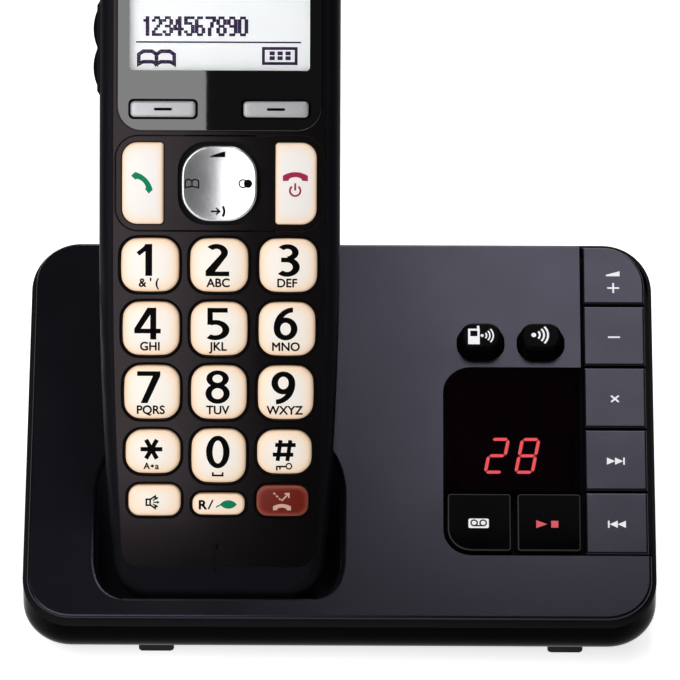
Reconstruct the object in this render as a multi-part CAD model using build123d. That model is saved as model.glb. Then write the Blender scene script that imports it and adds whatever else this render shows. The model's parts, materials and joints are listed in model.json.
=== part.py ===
from build123d import *
import os
from math import atan, cos, radians, sin, sqrt

# Cordless phone: a handset standing in the cradle of a sloped answering base.
# Millimetres. +X is to the right of someone facing the phone, +Y is away from them, +Z is up.
# The origin is on the surface that the feet stand on, under the middle of the whole part.

# Base case
base_width = 140.0
base_depth = 88.7
base_corner_radius = 11.0
base_slope = 25.0
base_front_height = 14.0
base_wall = 2.0
base_floor = 1.8
hull_radius = 8.0
rim_lip = 0.75

# Base cover
cover_inset = 1.0
cover_thickness = 2.4
cover_rim = 1.2
cover_fit = 0.2
cover_edge_radius = 0.7

# Feet
foot_width = 7.8
foot_length = 9.0
foot_height = 3.0
foot_peg = 0.8
foot_corner_radius = 1.0
foot_edge_radius = 0.2
foot_left_inset = 29.4
foot_right_inset = 20.0
foot_front_y = 10.5
foot_rear_inset = 17.2

# Handset stance in the cradle
handset_lean = 32.0
handset_x = -26.7
cradle_line = 7.2
seat_depth = 3.1
seat_gap = 0.1

# Handset case
handset_width = 53.0
handset_length = 165.0
handset_end_depth = 18.0
handset_top_depth = 27.0
handset_taper_start = 79.4
handset_side_radius = 800.0
handset_bottom_corner = 9.0
handset_top_corner = 13.0
handset_front_radius = 3.05
handset_back_radius = 8.0
handset_wall = 2.0
parting_depth = 10.0

# Face plate
plate_side = 3.05
plate_bottom = 7.6
plate_top = 161.0
plate_side_radius = 1150.0
plate_bottom_corner = 4.3
plate_top_corner = 10.0
plate_thickness = 2.2
plate_proud = 0.25
plate_edge_radius = 0.2
plate_ledge = 0.9
ledge_thickness = 1.5

# Display
panel_side = 0.95
panel_bottom = 103.9
panel_top = 159.5
panel_corner = 5.4
panel_top_corner = 9.0
panel_thickness = 1.3
panel_proud = 0.1
panel_edge_radius = 0.25
screen_side = 2.7
screen_bottom = 117.2
screen_height = 28.0
screen_corner = 0.8
screen_fit = 0.05
lcd_border = 2.0
earpiece_y = 152.5
earpiece_slot_length = 11.0
earpiece_slot_width = 1.6
earpiece_diameter = 9.6

# Handset keys
key_gap = 0.3
key_proud = 1.5
key_travel = 0.7
key_flange = 0.5
flange_thickness = 0.8
flange_gap = 0.1
key_edge_radius = 0.7
key_crown_radius = 45.0
key_corner = 3.2
key_bow = 0.35
dial_row_y = 74.45
dial_row_pitch = 14.0
dial_side = 1.9
dial_gap = 2.5
dial_key_height = 11.7
dial_key_narrowing = 0.25
dial_column_narrowing = 0.24
star_key_height = 9.5
star_key_rise = 0.9
function_y = 22.6
function_narrowing = 1.3
function_height = 6.7
function_corner = 2.6
function_column_narrowing = 1.1
recall_y = 21.8
recall_height = 4.6
recall_corner = 1.9
call_y = 92.4
call_side = 2.1
call_height = 17.9
call_outer_corner = 3.4
call_inner_corner = 0.7
call_recess_side = 0.75
call_recess_height = 20.6
call_recess_corner = 4.8
call_recess_depth = 0.4
call_recess_slope = 0.35
soft_y = 108.7
soft_side = 2.75
soft_gap = 10.1
soft_height = 3.9
soft_corner = 0.9
nav_size = 16.6
nav_corner = 5.8
nav_bow = 0.5
nav_dish_diameter = 14.8
nav_dish_radius = 40.0
nav_gap = 0.9
nav_side = 4.05
nav_bottom = 2.6
nav_pivot_depth = 3.1
nav_pivot_diameter = 5.0
nav_pivot_height = 0.5

# Handset insides
mat_thickness = 1.1
mat_clear = 0.1
mat_side = 1.95
mat_bottom = 16.6
mat_top = 112.2
board_thickness = 1.2
board_side = 2.65
board_bottom = 9.2
board_top = 156.5
board_screw_inset = 3.8
board_screw_low = 12.6
board_screw_high = 151.8
board_screw_diameter = 2.0
board_screw_head = 4.0
board_screw_length = 6.0
board_post = 5.6
microphone_y = 12.2
microphone_diameter = 5.0
microphone_height = 2.3
microphone_hole = 1.2
groove_width = 2.1
groove_bottom = 6.1
groove_top = 13.6
groove_depth = 0.7
groove_corner = 0.9
loudspeaker_y = 138.0
loudspeaker_diameter = 20.0
loudspeaker_height = 4.5
magnet_gap = 1.0
grille_slot_length = 11.0
grille_slot_width = 1.4
grille_slot_pitch = 3.4

# Battery
cell_diameter = 10.5
cell_length = 44.5
nub_diameter = 3.8
nub_length = 0.9
cell_gap = 0.25
contact_thickness = 0.4
contact_width = 8.0
spring_length = 3.9
spring_radius = 2.6
spring_wire = 0.5
spring_turns = 3
bay_bottom = 64.5
bay_wall = 1.0
door_margin = 2.8
door_thickness = 1.6
door_gap = 0.3
door_corner = 3.0
door_ledge = 1.7
grip_length = 12.0
grip_width = 1.0
grip_height = 0.5
grip_pitch = 2.2
grip_count = 3

# Volume rocker
rocker_y = 122.0
rocker_length = 18.8
rocker_thickness = 5.0
rocker_depth = 6.6
rocker_proud = 1.4
rocker_waist = 0.5
rocker_gap = 0.5
rocker_inset = 2.5
rocker_tongue = 5.0
rocker_tongue_length = 1.0
bezel_margin = 2.6
bezel_height = 0.55
bezel_slant = 2.6

# Charge contacts
charge_inset = 11.5
charge_depth = 6.5
charge_plate_width = 4.0
charge_plate_depth = 3.2
charge_plate_recess = 0.5
charge_fit = 0.05
pin_diameter = 2.0
pin_head = 3.6
pin_head_height = 1.1
pin_rise = 0.4
pin_tail = 0.5
pin_gap = 0.3

# Cradle
cradle_side_gap = 0.5
cradle_corner = 6.0
cradle_front_gap = 0.35
cradle_back_gap = 0.4
cradle_toe_radius = 2.4
cradle_wall = 1.6
cradle_rim_radius = 1.2

# Base keys
tray_depth = 3.2
tray_thickness = 1.4
tray_wall = 1.2
column_width = 16.2
column_front = 15.75
column_key_gap = 0.6
block_pitches = 3
column_edge = 1.7
base_key_proud = 0.5
base_key_bottom = 2.2
base_key_travel = 0.7
base_key_edge = 0.5
stem_diameter = 4.0
stem_gap = 0.35
stem_end = 4.9
block_width = 30.9
block_corner = 6.4
tile_margin = 0.9
tile_column_gap = 0.35
tile_spacing = 1.3
tile_inner_corner = 0.8
oval_inset = 8.45
oval_pitch = 13.5
oval_gap = 6.1
oval_width = 10.2
oval_height = 8.0
oval_corner = 3.4
oval_rise = 3.6
oval_top_width = 8.9
oval_top_height = 6.7
oval_top_corner = 2.9
oval_edge_radius = 0.8

# Counter
window_thickness = 1.4
window_proud = 0.2
window_skirt = 1.2
window_gap = 0.35
counter_rise = 10.0
counter_width = 24.0
counter_height = 16.8
counter_clear = 0.2
counter_gap = 0.5

# Base insides
base_mat_thickness = 1.2
base_board_thickness = 1.6
base_board_cradle_gap = 3.1
base_board_side = 5.0
base_board_inset = 2.25
base_board_rear_inset = 17.7
strip_margin = 2.8
strip_rear_inset = 7.7
standoff_diameter = 4.2
standoff_inset = 4.0
speaker_jack_gap = 5.7
speaker_diameter = 36.0
speaker_cone_diameter = 18.0
speaker_flange = 3.0
speaker_height = 9.0
sound_slot_length = 22.0
sound_slot_width = 2.0
sound_slot_pitch = 5.0
sound_slot_count = 5

# Case screws
screw_inset = 9.5
screw_right_rear_inset = 15.7
screw_front_y = 13.0
screw_left_front_y = 44.0
screw_rear_inset = 7.7
screw_left_rear_inset = 9.7
screw_diameter = 2.9
screw_head = 5.6
screw_head_height = 1.4
screw_grip = 5.0
screw_fit = 0.1
boss_diameter = 8.0
boss_height = 7.0
boss_web = 3.0
post_diameter = 7.0

# Jacks in the rear wall, on a shelf
jack_shelf = 6.5
jack_pitch = 19.0
line_jack_width = 13.0
line_jack_height = 12.0
line_jack_length = 12.0
line_socket_width = 9.8
line_socket_height = 6.8
line_socket_depth = 10.5
line_socket_rise = 3.2
power_jack_inset = 26.0
power_jack_width = 9.4
power_jack_height = 10.5
power_jack_length = 11.5
power_socket_diameter = 5.6
power_socket_depth = 9.0
power_pin_diameter = 1.7
jack_fit = 0.1

# How far a cut runs past the face that it opens
cut_past = 1.0

# Keys of the base's right-hand column, from the front
column_key_names = (
    "skip_back_key",
    "skip_forward_key",
    "erase_key",
    "volume_down_key",
    "volume_up_key",
)

# Worked-out sizes of the base
tall = 4 * base_depth
slope = radians(base_slope)
cover_depth = base_depth - 2 * cover_inset
plan_middle_y = cover_depth / 2
top_length = cover_depth / cos(slope)
inner_wall_y = cover_depth + cover_inset - base_wall
right_side = base_width / 2
column_left = right_side - column_width
column_pitch = (top_length - column_front) / len(column_key_names)
stem_x = (column_left + column_key_gap + right_side - column_edge) / 2
block_left = column_left - block_width
block_front = column_front
block_rear = column_front + block_pitches * column_pitch
tile_rear = column_front + column_pitch
oval_left_x = block_left + oval_inset
oval_right_x = oval_left_x + oval_pitch
oval_y = block_rear + oval_gap
counter_x = (block_left + column_left) / 2
counter_y = tile_rear + counter_rise
cradle_width = handset_width + 2 * cradle_side_gap
base_board_left = handset_x + cradle_width / 2 + cradle_wall + base_board_cradle_gap
base_board_right = right_side - base_board_side
base_board_front = column_front + base_board_inset
base_board_rear = top_length - base_board_rear_inset
base_strip_left = stem_x - strip_margin
base_strip_rear = top_length - strip_rear_inset
standoff_left_x = base_board_left + standoff_inset
standoff_front_y = base_board_front + standoff_inset
standoff_rear_y = base_board_rear - standoff_inset
base_mat_face = stem_end + base_key_travel + mat_clear
base_board_face = base_mat_face + base_mat_thickness
base_board_back = base_board_face + base_board_thickness
floor_top = foot_height + base_floor
jack_floor = floor_top + jack_shelf
jack_front = inner_wall_y - max(line_jack_length, power_jack_length)
power_jack_x = right_side - power_jack_inset
line_jack_x = power_jack_x - jack_pitch
speaker_x = (base_board_left + base_board_right) / 2
speaker_y = jack_front - speaker_jack_gap - speaker_diameter / 2
foot_left_x = foot_left_inset - right_side
foot_right_x = right_side - foot_right_inset
foot_rear_y = cover_depth - foot_rear_inset
screw_side_x = right_side - screw_inset
screw_right_rear_x = right_side - screw_right_rear_inset
screw_rear_y = cover_depth - screw_rear_inset
screw_left_rear_y = cover_depth - screw_left_rear_inset

# Worked-out sizes of the handset
lean = radians(handset_lean)
back_rise = (handset_top_depth - handset_end_depth) / handset_length
back_tilt = atan(back_rise)
plate_width = handset_width - 2 * plate_side
plate_floor = plate_thickness - plate_proud
panel_width = plate_width - 2 * panel_side
screen_width = panel_width - 2 * screen_side
dial_key_width = (plate_width - 2 * dial_side - 2 * dial_gap) / 3
dial_column = dial_key_width + dial_gap
function_width = dial_key_width - function_narrowing
function_column = dial_column - function_column_narrowing
call_width = plate_width / 2 - call_side - nav_side - nav_size / 2
call_x = plate_width / 2 - call_side - call_width / 2
call_recess_width = plate_width - 2 * call_recess_side
soft_width = (panel_width - 2 * soft_side - soft_gap) / 2
soft_x = (soft_gap + soft_width) / 2
mat_width = plate_width - 2 * mat_side
mat_face = plate_floor + flange_gap + flange_thickness + key_travel + mat_clear
board_width = plate_width - 2 * board_side
board_screw_x = board_width / 2 - board_screw_inset
board_face = mat_face + mat_thickness
board_back = board_face + board_thickness
rocker_inner = handset_width / 2 - rocker_inset
charge_x = handset_width / 2 - charge_inset
bay_length = cell_length + nub_length + spring_length + 2 * contact_thickness + 3 * cell_gap
bay_half_width = cell_diameter + 2 * cell_gap
bay_back = handset_end_depth + back_rise * bay_bottom
bay_floor_depth = bay_back - door_thickness - cell_diameter - 2 * cell_gap
cell_x = (cell_diameter + cell_gap) / 2
cell_depth = bay_floor_depth + cell_gap + cell_diameter / 2
door_bottom = bay_bottom - door_margin
door_length = bay_length + 2 * door_margin
door_half_width = bay_half_width + door_margin
loudspeaker_seat = (
    handset_end_depth + back_rise * (loudspeaker_y - loudspeaker_diameter / 2) - handset_wall
)

# Frames: the sloped top of the base, the handset's face and the handset's back
top_frame = Plane(
    origin=(0, 0, base_front_height),
    x_dir=(1, 0, 0),
    z_dir=(0, -sin(slope), cos(slope)),
)
up_slope = Vector(0, cos(slope), sin(slope))
up_handset = Vector(0, sin(lean), cos(lean))
handset_origin = (
    Vector(handset_x, 0, base_front_height) + up_slope * cradle_line - up_handset * seat_depth
)
handset_frame = Plane(
    origin=handset_origin, x_dir=(1, 0, 0), z_dir=(0, -cos(lean), sin(lean))
)
back_frame = Plane(
    origin=(0, 0, -handset_end_depth),
    x_dir=(-1, 0, 0),
    z_dir=(0, -sin(back_tilt), -cos(back_tilt)),
)


def placed(place, node):
    """A node moved solid by solid, so that no piece keeps a place of its own."""
    pieces = [place * piece for piece in node.solids()]
    if len(pieces) == 1:
        return pieces[0]
    return Compound(pieces)


def block(x_low, x_high, y_low, y_high, z_low, z_high):
    """A box between two corners."""
    middle = Pos((x_low + x_high) / 2, (y_low + y_high) / 2, (z_low + z_high) / 2)
    return middle * Box(x_high - x_low, y_high - y_low, z_high - z_low)


def prism(face, z_low, z_high):
    """A face in the XY plane raised between two heights."""
    return Pos(0, 0, z_low) * extrude(face, z_high - z_low)


def rod(x, y, diameter, z_low, z_high):
    """A round bar along Z."""
    return Pos(x, y, (z_low + z_high) / 2) * Cylinder(diameter / 2, z_high - z_low)


def cornered(x_low, x_high, y_low, y_high, corners):
    """A rectangle with its own radius at each of the corners that are given."""
    middle = Pos((x_low + x_high) / 2, (y_low + y_high) / 2)
    face = middle * Rectangle(x_high - x_low, y_high - y_low)
    places = {
        "front_left": (x_low, y_low),
        "front_right": (x_high, y_low),
        "rear_left": (x_low, y_high),
        "rear_right": (x_high, y_high),
    }
    for name, radius in corners.items():
        corner = face.vertices().sort_by_distance((*places[name], 0))[0]
        face = fillet(corner, radius)
    return face


def bowed(width, height, corner, bow, grow=0):
    """A soft square whose sides swell by the bow, centred on the origin."""
    x = width / 2 + grow
    y = height / 2 + grow
    sides = [
        ThreePointArc((-x + bow, -y + bow), (0, -y), (x - bow, -y + bow)),
        ThreePointArc((x - bow, -y + bow), (x, 0), (x - bow, y - bow)),
        ThreePointArc((x - bow, y - bow), (0, y), (-x + bow, y - bow)),
        ThreePointArc((-x + bow, y - bow), (-x, 0), (-x + bow, -y + bow)),
    ]
    face = make_face(sides)
    return fillet(face.vertices(), corner + grow - bow)


def tapered_outline(half_width, low, high, radius, low_corner, high_corner):
    """A tall outline with straight upper sides that curve in towards the lower end."""
    drop = handset_taper_start - low
    middle_drop = drop / 2
    low_x = half_width - radius + sqrt(radius**2 - drop**2)
    middle_x = half_width - radius + sqrt(radius**2 - middle_drop**2)
    start = handset_taper_start
    edges = [
        Line((-low_x, low), (low_x, low)),
        ThreePointArc((low_x, low), (middle_x, start - middle_drop), (half_width, start)),
        Line((half_width, start), (half_width, high)),
        Line((half_width, high), (-half_width, high)),
        Line((-half_width, high), (-half_width, start)),
        ThreePointArc((-half_width, start), (-middle_x, start - middle_drop), (-low_x, low)),
    ]
    face = make_face(edges)
    face = fillet(face.vertices().group_by(Axis.Y)[0], low_corner)
    return fillet(face.vertices().group_by(Axis.Y)[-1], high_corner)


def handset_outline(inset=0):
    return tapered_outline(
        handset_width / 2 - inset,
        inset,
        handset_length - inset,
        handset_side_radius - inset,
        handset_bottom_corner - inset,
        handset_top_corner - inset,
    )


def plate_outline(inset=0):
    return tapered_outline(
        plate_width / 2 - inset,
        plate_bottom + inset,
        plate_top - inset,
        plate_side_radius - inset,
        plate_bottom_corner - inset,
        plate_top_corner - inset,
    )


def handset_body(inset, front_depth, front_radius, back_radius):
    """The handset's whole form, drawn in from the outside by an inset."""
    body = prism(handset_outline(inset), -2 * handset_top_depth, -front_depth)
    back = Plane(
        origin=back_frame.origin - back_frame.z_dir * inset,
        x_dir=back_frame.x_dir,
        z_dir=back_frame.z_dir,
    )
    body = split(body, bisect_by=back, keep=Keep.BOTTOM)
    body = fillet(body.faces().sort_by(Axis.Z)[0].edges(), back_radius)
    if front_radius:
        body = fillet(body.faces().sort_by(Axis.Z)[-1].edges(), front_radius)
    return body


def back_block(half_width, y_low, y_high, depth_low, depth_high, corner):
    """A rounded plate laid in the handset's back, with depths measured inwards from it."""
    face = Pos(0, (y_low + y_high) / 2) * RectangleRounded(
        2 * half_width, y_high - y_low, corner
    )
    return back_frame * prism(face, -depth_high, -depth_low)


def dial_keys():
    """Name, place, width and height of each key of the dialling block."""
    names = (("1", "2", "3"), ("4", "5", "6"), ("7", "8", "9"), ("star", "0", "hash"))
    keys = []
    for row, row_names in enumerate(names):
        column = dial_column - row * dial_column_narrowing
        for place, name in enumerate(row_names):
            x = (place - 1) * column
            y = dial_row_y - row * dial_row_pitch
            width = dial_key_width - row * dial_key_narrowing
            height = dial_key_height
            if name in ("star", "hash"):
                y += star_key_rise
                height = star_key_height
            keys.append(("key_" + name, x, y, bowed_sizes(width, height)))
    return keys


def bowed_sizes(width, height):
    return (width, height, min(key_corner, min(width, height) / 2 - key_bow), key_bow)


def key_outline(sizes, grow=0):
    width, height, corner, bow = sizes
    return bowed(width, height, corner, bow, grow)


def call_outline(side, grow=0):
    """Outline of the talk key (side -1) or the off key (side +1), rounded on its outer side."""
    outer = side * (call_width / 2 + grow)
    inner = -outer
    half = call_height / 2 + grow
    corners = {}
    for edge in ("front", "rear"):
        for name, x in (("left", min(outer, inner)), ("right", max(outer, inner))):
            is_outer = x == outer
            radius = call_outer_corner if is_outer else call_inner_corner
            corners[edge + "_" + name] = radius + grow
    return cornered(-abs(outer), abs(outer), -half, half, corners)


def soft_outline(grow=0):
    return RectangleRounded(
        soft_width + 2 * grow, soft_height + 2 * grow, soft_corner + grow
    )


def function_outline(height, corner, grow=0):
    return RectangleRounded(
        function_width + 2 * grow, height + 2 * grow, corner + grow
    )


def plunger_keys():
    """Every handset key that is pushed straight in: name, place and outline maker."""
    keys = []
    for name, x, y, sizes in dial_keys():
        keys.append((name, x, y, lambda grow=0, sizes=sizes: key_outline(sizes, grow)))
    for name, side in (("talk_key", -1), ("off_key", 1)):
        keys.append((name, side * call_x, call_y, lambda grow=0, side=side: call_outline(side, grow)))
    for name, side in (("soft_key_left", -1), ("soft_key_right", 1)):
        keys.append((name, side * soft_x, soft_y, soft_outline))
    for name, side in (("speakerphone_key", -1), ("call_block_key", 1)):
        keys.append(
            (
                name,
                side * function_column,
                function_y,
                lambda grow=0: function_outline(function_height, function_corner, grow),
            )
        )
    keys.append(
        (
            "recall_key",
            0,
            recall_y,
            lambda grow=0: function_outline(recall_height, recall_corner, grow),
        )
    )
    return keys


def plunger_key(outline, top):
    """A crowned cap with a flange that holds it under the face plate."""
    face = outline()
    flange_top = -(plate_floor + flange_gap)
    cap = prism(face, flange_top, top)
    crown = Pos(0, 0, top - key_crown_radius) * Sphere(key_crown_radius)
    cap = cap & crown
    cap = fillet(cap.faces().sort_by(Axis.Z)[-1].edges(), key_edge_radius)
    flange = prism(outline(key_flange), flange_top - flange_thickness, flange_top)
    return cap + flange


def make_handset_keys():
    keys = {}
    for name, x, y, outline in plunger_keys():
        keys[name] = Pos(x, y) * plunger_key(outline, key_proud)
    return keys


def make_nav_key():
    """A soft square with a dished top inside a rounded rim."""
    face = bowed(nav_size, nav_size, nav_corner, nav_bow)
    cap = prism(face, -nav_bottom, key_proud)
    cap = fillet(cap.faces().sort_by(Axis.Z)[-1].edges(), key_edge_radius)
    rise = sqrt(nav_dish_radius**2 - nav_dish_diameter**2 / 4)
    cap -= Pos(0, 0, key_proud + rise) * Sphere(nav_dish_radius)
    return Pos(0, call_y) * cap


def make_nav_pivot():
    half = nav_pivot_height / 2
    return rod(0, call_y, nav_pivot_diameter, -nav_pivot_depth - half, -nav_pivot_depth + half)


def panel_outline(grow=0):
    half = panel_width / 2 + grow
    corners = {
        "front_left": panel_corner,
        "front_right": panel_corner,
        "rear_left": panel_top_corner,
        "rear_right": panel_top_corner,
    }
    return cornered(-half, half, panel_bottom - grow, panel_top + grow, corners)


def screen_outline(grow=0):
    return Pos(0, screen_bottom + screen_height / 2) * RectangleRounded(
        screen_width + 2 * grow, screen_height + 2 * grow, screen_corner + grow
    )


def earpiece_slot():
    return Pos(0, earpiece_y) * SlotOverall(earpiece_slot_length, earpiece_slot_width)


def microphone_groove():
    """The groove from the microphone's hole over the plate's lower edge."""
    groove = Pos(0, (groove_bottom + groove_top) / 2) * RectangleRounded(
        groove_width, groove_top - groove_bottom, groove_corner
    )
    return prism(groove, plate_proud - groove_depth, key_proud)


def call_recess():
    """The shallow recess round the call keys, with sloping walls."""
    outlines = []
    for grow, height in ((0, plate_proud - call_recess_depth), (call_recess_slope, plate_proud)):
        outline = RectangleRounded(
            call_recess_width + 2 * grow, call_recess_height + 2 * grow, call_recess_corner + grow
        )
        outlines.append(Pos(0, call_y, height) * outline)
    return loft(outlines)


def make_face_plate():
    """The plate that carries every key opening, with the recess for the display panel."""
    plate = prism(plate_outline(), -plate_floor, plate_proud)
    plate = fillet(plate.faces().sort_by(Axis.Z)[-1].edges(), plate_edge_radius)
    panel_seat = plate_proud + panel_proud - panel_thickness
    plate -= prism(panel_outline(key_gap / 2), panel_seat, key_proud)
    plate -= call_recess()
    for name, x, y, outline in plunger_keys():
        plate -= Pos(x, y) * prism(outline(key_gap), -plate_thickness, key_proud)
    nav_opening = bowed(nav_size, nav_size, nav_corner, nav_bow, nav_gap)
    plate -= Pos(0, call_y) * prism(nav_opening, -plate_thickness, key_proud)
    plate -= prism(screen_outline(), -plate_thickness, key_proud)
    plate -= prism(earpiece_slot(), -plate_thickness, key_proud)
    plate -= rod(0, microphone_y, microphone_hole, -plate_thickness, key_proud)
    plate -= microphone_groove()
    return plate


def make_display_panel():
    top = plate_proud + panel_proud
    panel = prism(panel_outline(), top - panel_thickness, top)
    panel = fillet(panel.faces().sort_by(Axis.Z)[-1].edges(), panel_edge_radius)
    panel -= prism(screen_outline(), -plate_thickness, key_proud)
    panel -= prism(earpiece_slot(), -plate_thickness, key_proud)
    for side in (-1, 1):
        panel -= Pos(side * soft_x, soft_y) * prism(soft_outline(key_gap), -plate_thickness, key_proud)
    return panel


def make_lcd_window():
    top = plate_proud + panel_proud
    return prism(screen_outline(-screen_fit), top - panel_thickness, top)


def make_lcd_module():
    face = Pos(0, screen_bottom + screen_height / 2) * Rectangle(
        screen_width + 2 * lcd_border, screen_height + 2 * lcd_border
    )
    return prism(face, -board_face, -plate_floor)


def make_earpiece_speaker():
    return rod(0, earpiece_y, earpiece_diameter, -board_face, -plate_floor)


def rocker_slot():
    """The opening in the left side that the volume rocker works in."""
    half_length = rocker_length / 2 + rocker_gap
    half_thickness = rocker_thickness / 2 + rocker_gap
    return block(
        -handset_width,
        -rocker_inner,
        rocker_y - half_length,
        rocker_y + half_length,
        -rocker_depth - half_thickness,
        -rocker_depth + half_thickness,
    )


def rocker_bezel():
    """The raised strip round the volume rocker, with slanted ends."""
    outer = -handset_width / 2 - bezel_height
    inner = -handset_width / 2 + handset_wall / 2
    half = rocker_length / 2 + bezel_margin
    face = make_face(
        Polyline(
            (inner, rocker_y - half),
            (outer, rocker_y - half + bezel_slant),
            (outer, rocker_y + half - bezel_slant),
            (inner, rocker_y + half),
            close=True,
        )
    )
    reach = rocker_thickness / 2 + bezel_margin / 2
    return prism(face, -min(rocker_depth + reach, parting_depth), -rocker_depth + reach)


def charge_openings(fit=0):
    openings = []
    half_width = charge_plate_width / 2 + fit
    half_depth = charge_plate_depth / 2 + fit
    for side in (-1, 1):
        x = side * charge_x
        openings.append(
            block(
                x - half_width,
                x + half_width,
                charge_plate_recess,
                handset_wall,
                -charge_depth - half_depth,
                -charge_depth + half_depth,
            )
        )
    return openings


def make_handset_front_case(body, cavity):
    """The front half of the case: a frame round the face plate."""
    front_half = block(
        -handset_width, handset_width, -cut_past, 2 * handset_length, -parting_depth, handset_width
    )
    case = (body - cavity) & front_half
    case += rocker_bezel()
    case -= prism(plate_outline(), -plate_floor, key_proud)
    case -= prism(plate_outline(plate_ledge), -parting_depth, key_proud)
    case -= rocker_slot()
    case -= microphone_groove()
    for opening in charge_openings(charge_fit):
        case -= opening
    for side in (-1, 1):
        x = side * charge_x
        case -= block(
            x - pin_head / 2,
            x + pin_head / 2,
            -cut_past,
            charge_plate_recess,
            -charge_depth - charge_plate_depth / 2,
            -charge_depth + charge_plate_depth / 2,
        )
    return case


def bay_block(grow, floor_depth):
    half = bay_half_width + grow
    return block(
        -half,
        half,
        bay_bottom - grow,
        bay_bottom + bay_length + grow,
        -2 * handset_top_depth,
        -floor_depth,
    )


def board_screw_places():
    return [
        (side * board_screw_x, y) for side in (-1, 1) for y in (board_screw_low, board_screw_high)
    ]


def make_handset_rear_case(body, cavity):
    """The back half of the case, with the battery bay and the posts under the board."""
    rear_half = block(
        -handset_width,
        handset_width,
        -cut_past,
        2 * handset_length,
        -2 * handset_top_depth,
        -parting_depth,
    )
    case = (body - cavity) & rear_half
    solid_insides = bay_block(bay_wall, bay_floor_depth - bay_wall)
    ledge_depth = door_thickness + flange_gap + door_ledge
    solid_insides += back_block(
        door_half_width + door_ledge,
        door_bottom - door_ledge,
        door_bottom + door_length + door_ledge,
        -cut_past,
        ledge_depth,
        door_corner,
    )
    for x, y in board_screw_places():
        solid_insides += rod(x, y, board_post, -2 * handset_top_depth, -board_back)
    case += solid_insides & body
    case -= bay_block(0, bay_floor_depth)
    case -= back_block(
        door_half_width + door_gap,
        door_bottom - door_gap,
        door_bottom + door_length + door_gap,
        -cut_past,
        door_thickness + flange_gap,
        door_corner + door_gap,
    )
    for x, y in board_screw_places():
        hole_end = board_back + board_screw_length
        case -= rod(x, y, board_screw_diameter + screw_fit, -hole_end, -board_back)
    for index in (-1, 0, 1):
        slot = Pos(0, loudspeaker_y + index * grille_slot_pitch) * SlotOverall(
            grille_slot_length, grille_slot_width
        )
        case -= prism(slot, -2 * handset_top_depth, -loudspeaker_seat)
    return case


def make_battery_cover():
    door = back_block(
        door_half_width, door_bottom, door_bottom + door_length, 0, door_thickness, door_corner
    )
    for index in range(grip_count):
        y = door_bottom + door_length - door_margin - grip_width - index * grip_pitch
        door += back_block(
            grip_length / 2, y - grip_width / 2, y + grip_width / 2, -grip_height, 0, grip_width / 3
        )
    return door


def make_battery_cells():
    """Two cells side by side, head to tail."""
    radius = cell_diameter / 2
    cells = []
    for side in (-1, 1):
        cell = Cylinder(radius, cell_length)
        nub_rise = (cell_length + nub_length) / 2
        cell += Pos(0, 0, nub_rise) * Cylinder(nub_diameter / 2, nub_length)
        spring_end = contact_thickness + spring_length + 2 * cell_gap
        low_end = bay_bottom + spring_end
        if side > 0:
            low_end = bay_bottom + bay_length - spring_end - cell_length
        turn = -90 if side < 0 else 90
        cells.append(
            Pos(side * cell_x, low_end + cell_length / 2, -cell_depth) * Rot(turn, 0, 0) * cell
        )
    return Compound(cells)


def coil_spring():
    """One coil along +Z, standing on the XY plane."""
    path = Helix(
        pitch=(spring_length - spring_wire) / spring_turns,
        height=spring_length - spring_wire,
        radius=spring_radius,
    )
    section = Plane(origin=path @ 0, z_dir=path % 0) * Circle(spring_wire / 2)
    return Pos(0, 0, spring_wire / 2) * sweep(section, path=path, is_frenet=True)


def make_battery_contacts():
    """A coil spring on a plate for each cell's flat end, and a plate for its nub."""
    pieces = []
    for side in (-1, 1):
        x = side * cell_x
        low = bay_bottom
        high = bay_bottom + bay_length
        half = contact_width / 2
        for y in (low, high - contact_thickness):
            pieces.append(
                block(x - half, x + half, y, y + contact_thickness, -cell_depth - half, -cell_depth + half)
            )
        seat = low + contact_thickness if side < 0 else high - contact_thickness
        turn = -90 if side < 0 else 90
        pieces.append(Pos(x, seat, -cell_depth) * Rot(turn, 0, 0) * coil_spring())
    return Compound(pieces)


def make_volume_rocker():
    """A two-humped rocker that turns about its waist."""
    outer = -handset_width / 2
    half = rocker_length / 2
    crest = outer - rocker_proud
    waist = outer - rocker_waist
    edges = [
        Line((-rocker_inner, half), (outer, half)),
        ThreePointArc((outer, half), (crest, half / 2), (waist, 0)),
        ThreePointArc((waist, 0), (crest, -half / 2), (outer, -half)),
        Line((outer, -half), (-rocker_inner, -half)),
        Line((-rocker_inner, -half), (-rocker_inner, half)),
    ]
    face = make_face(edges)
    rocker = prism(face, -rocker_thickness / 2, rocker_thickness / 2)
    tongue = rocker_tongue / 2
    rocker += block(
        -rocker_inner,
        -rocker_inner + rocker_tongue_length,
        -tongue,
        tongue,
        -tongue / 2,
        tongue / 2,
    )
    return Pos(0, rocker_y, -rocker_depth) * rocker


def make_keypad_mat():
    face = Pos(0, (mat_bottom + mat_top) / 2) * RectangleRounded(
        mat_width, mat_top - mat_bottom, plate_bottom_corner
    )
    mat = prism(face, -board_face, -mat_face)
    return mat & prism(plate_outline(plate_ledge + key_gap), -board_face, 0)


def make_handset_board():
    face = Pos(0, (board_bottom + board_top) / 2) * RectangleRounded(
        board_width, board_top - board_bottom, plate_bottom_corner
    )
    board = prism(face, -board_back, -board_face)
    for x, y in board_screw_places():
        board -= rod(x, y, board_screw_diameter + screw_fit, -board_back, 0)
    return board


def make_handset_microphone():
    return rod(0, microphone_y, microphone_diameter, -board_face, -board_face + microphone_height)


def make_handset_loudspeaker():
    """A flat loudspeaker behind the slots in the back."""
    frame_top = loudspeaker_height - loudspeaker_seat
    frame = rod(0, loudspeaker_y, loudspeaker_diameter, -loudspeaker_seat, frame_top)
    magnet = rod(0, loudspeaker_y, loudspeaker_diameter / 2, frame_top, -board_back - magnet_gap)
    return frame + magnet


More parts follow.
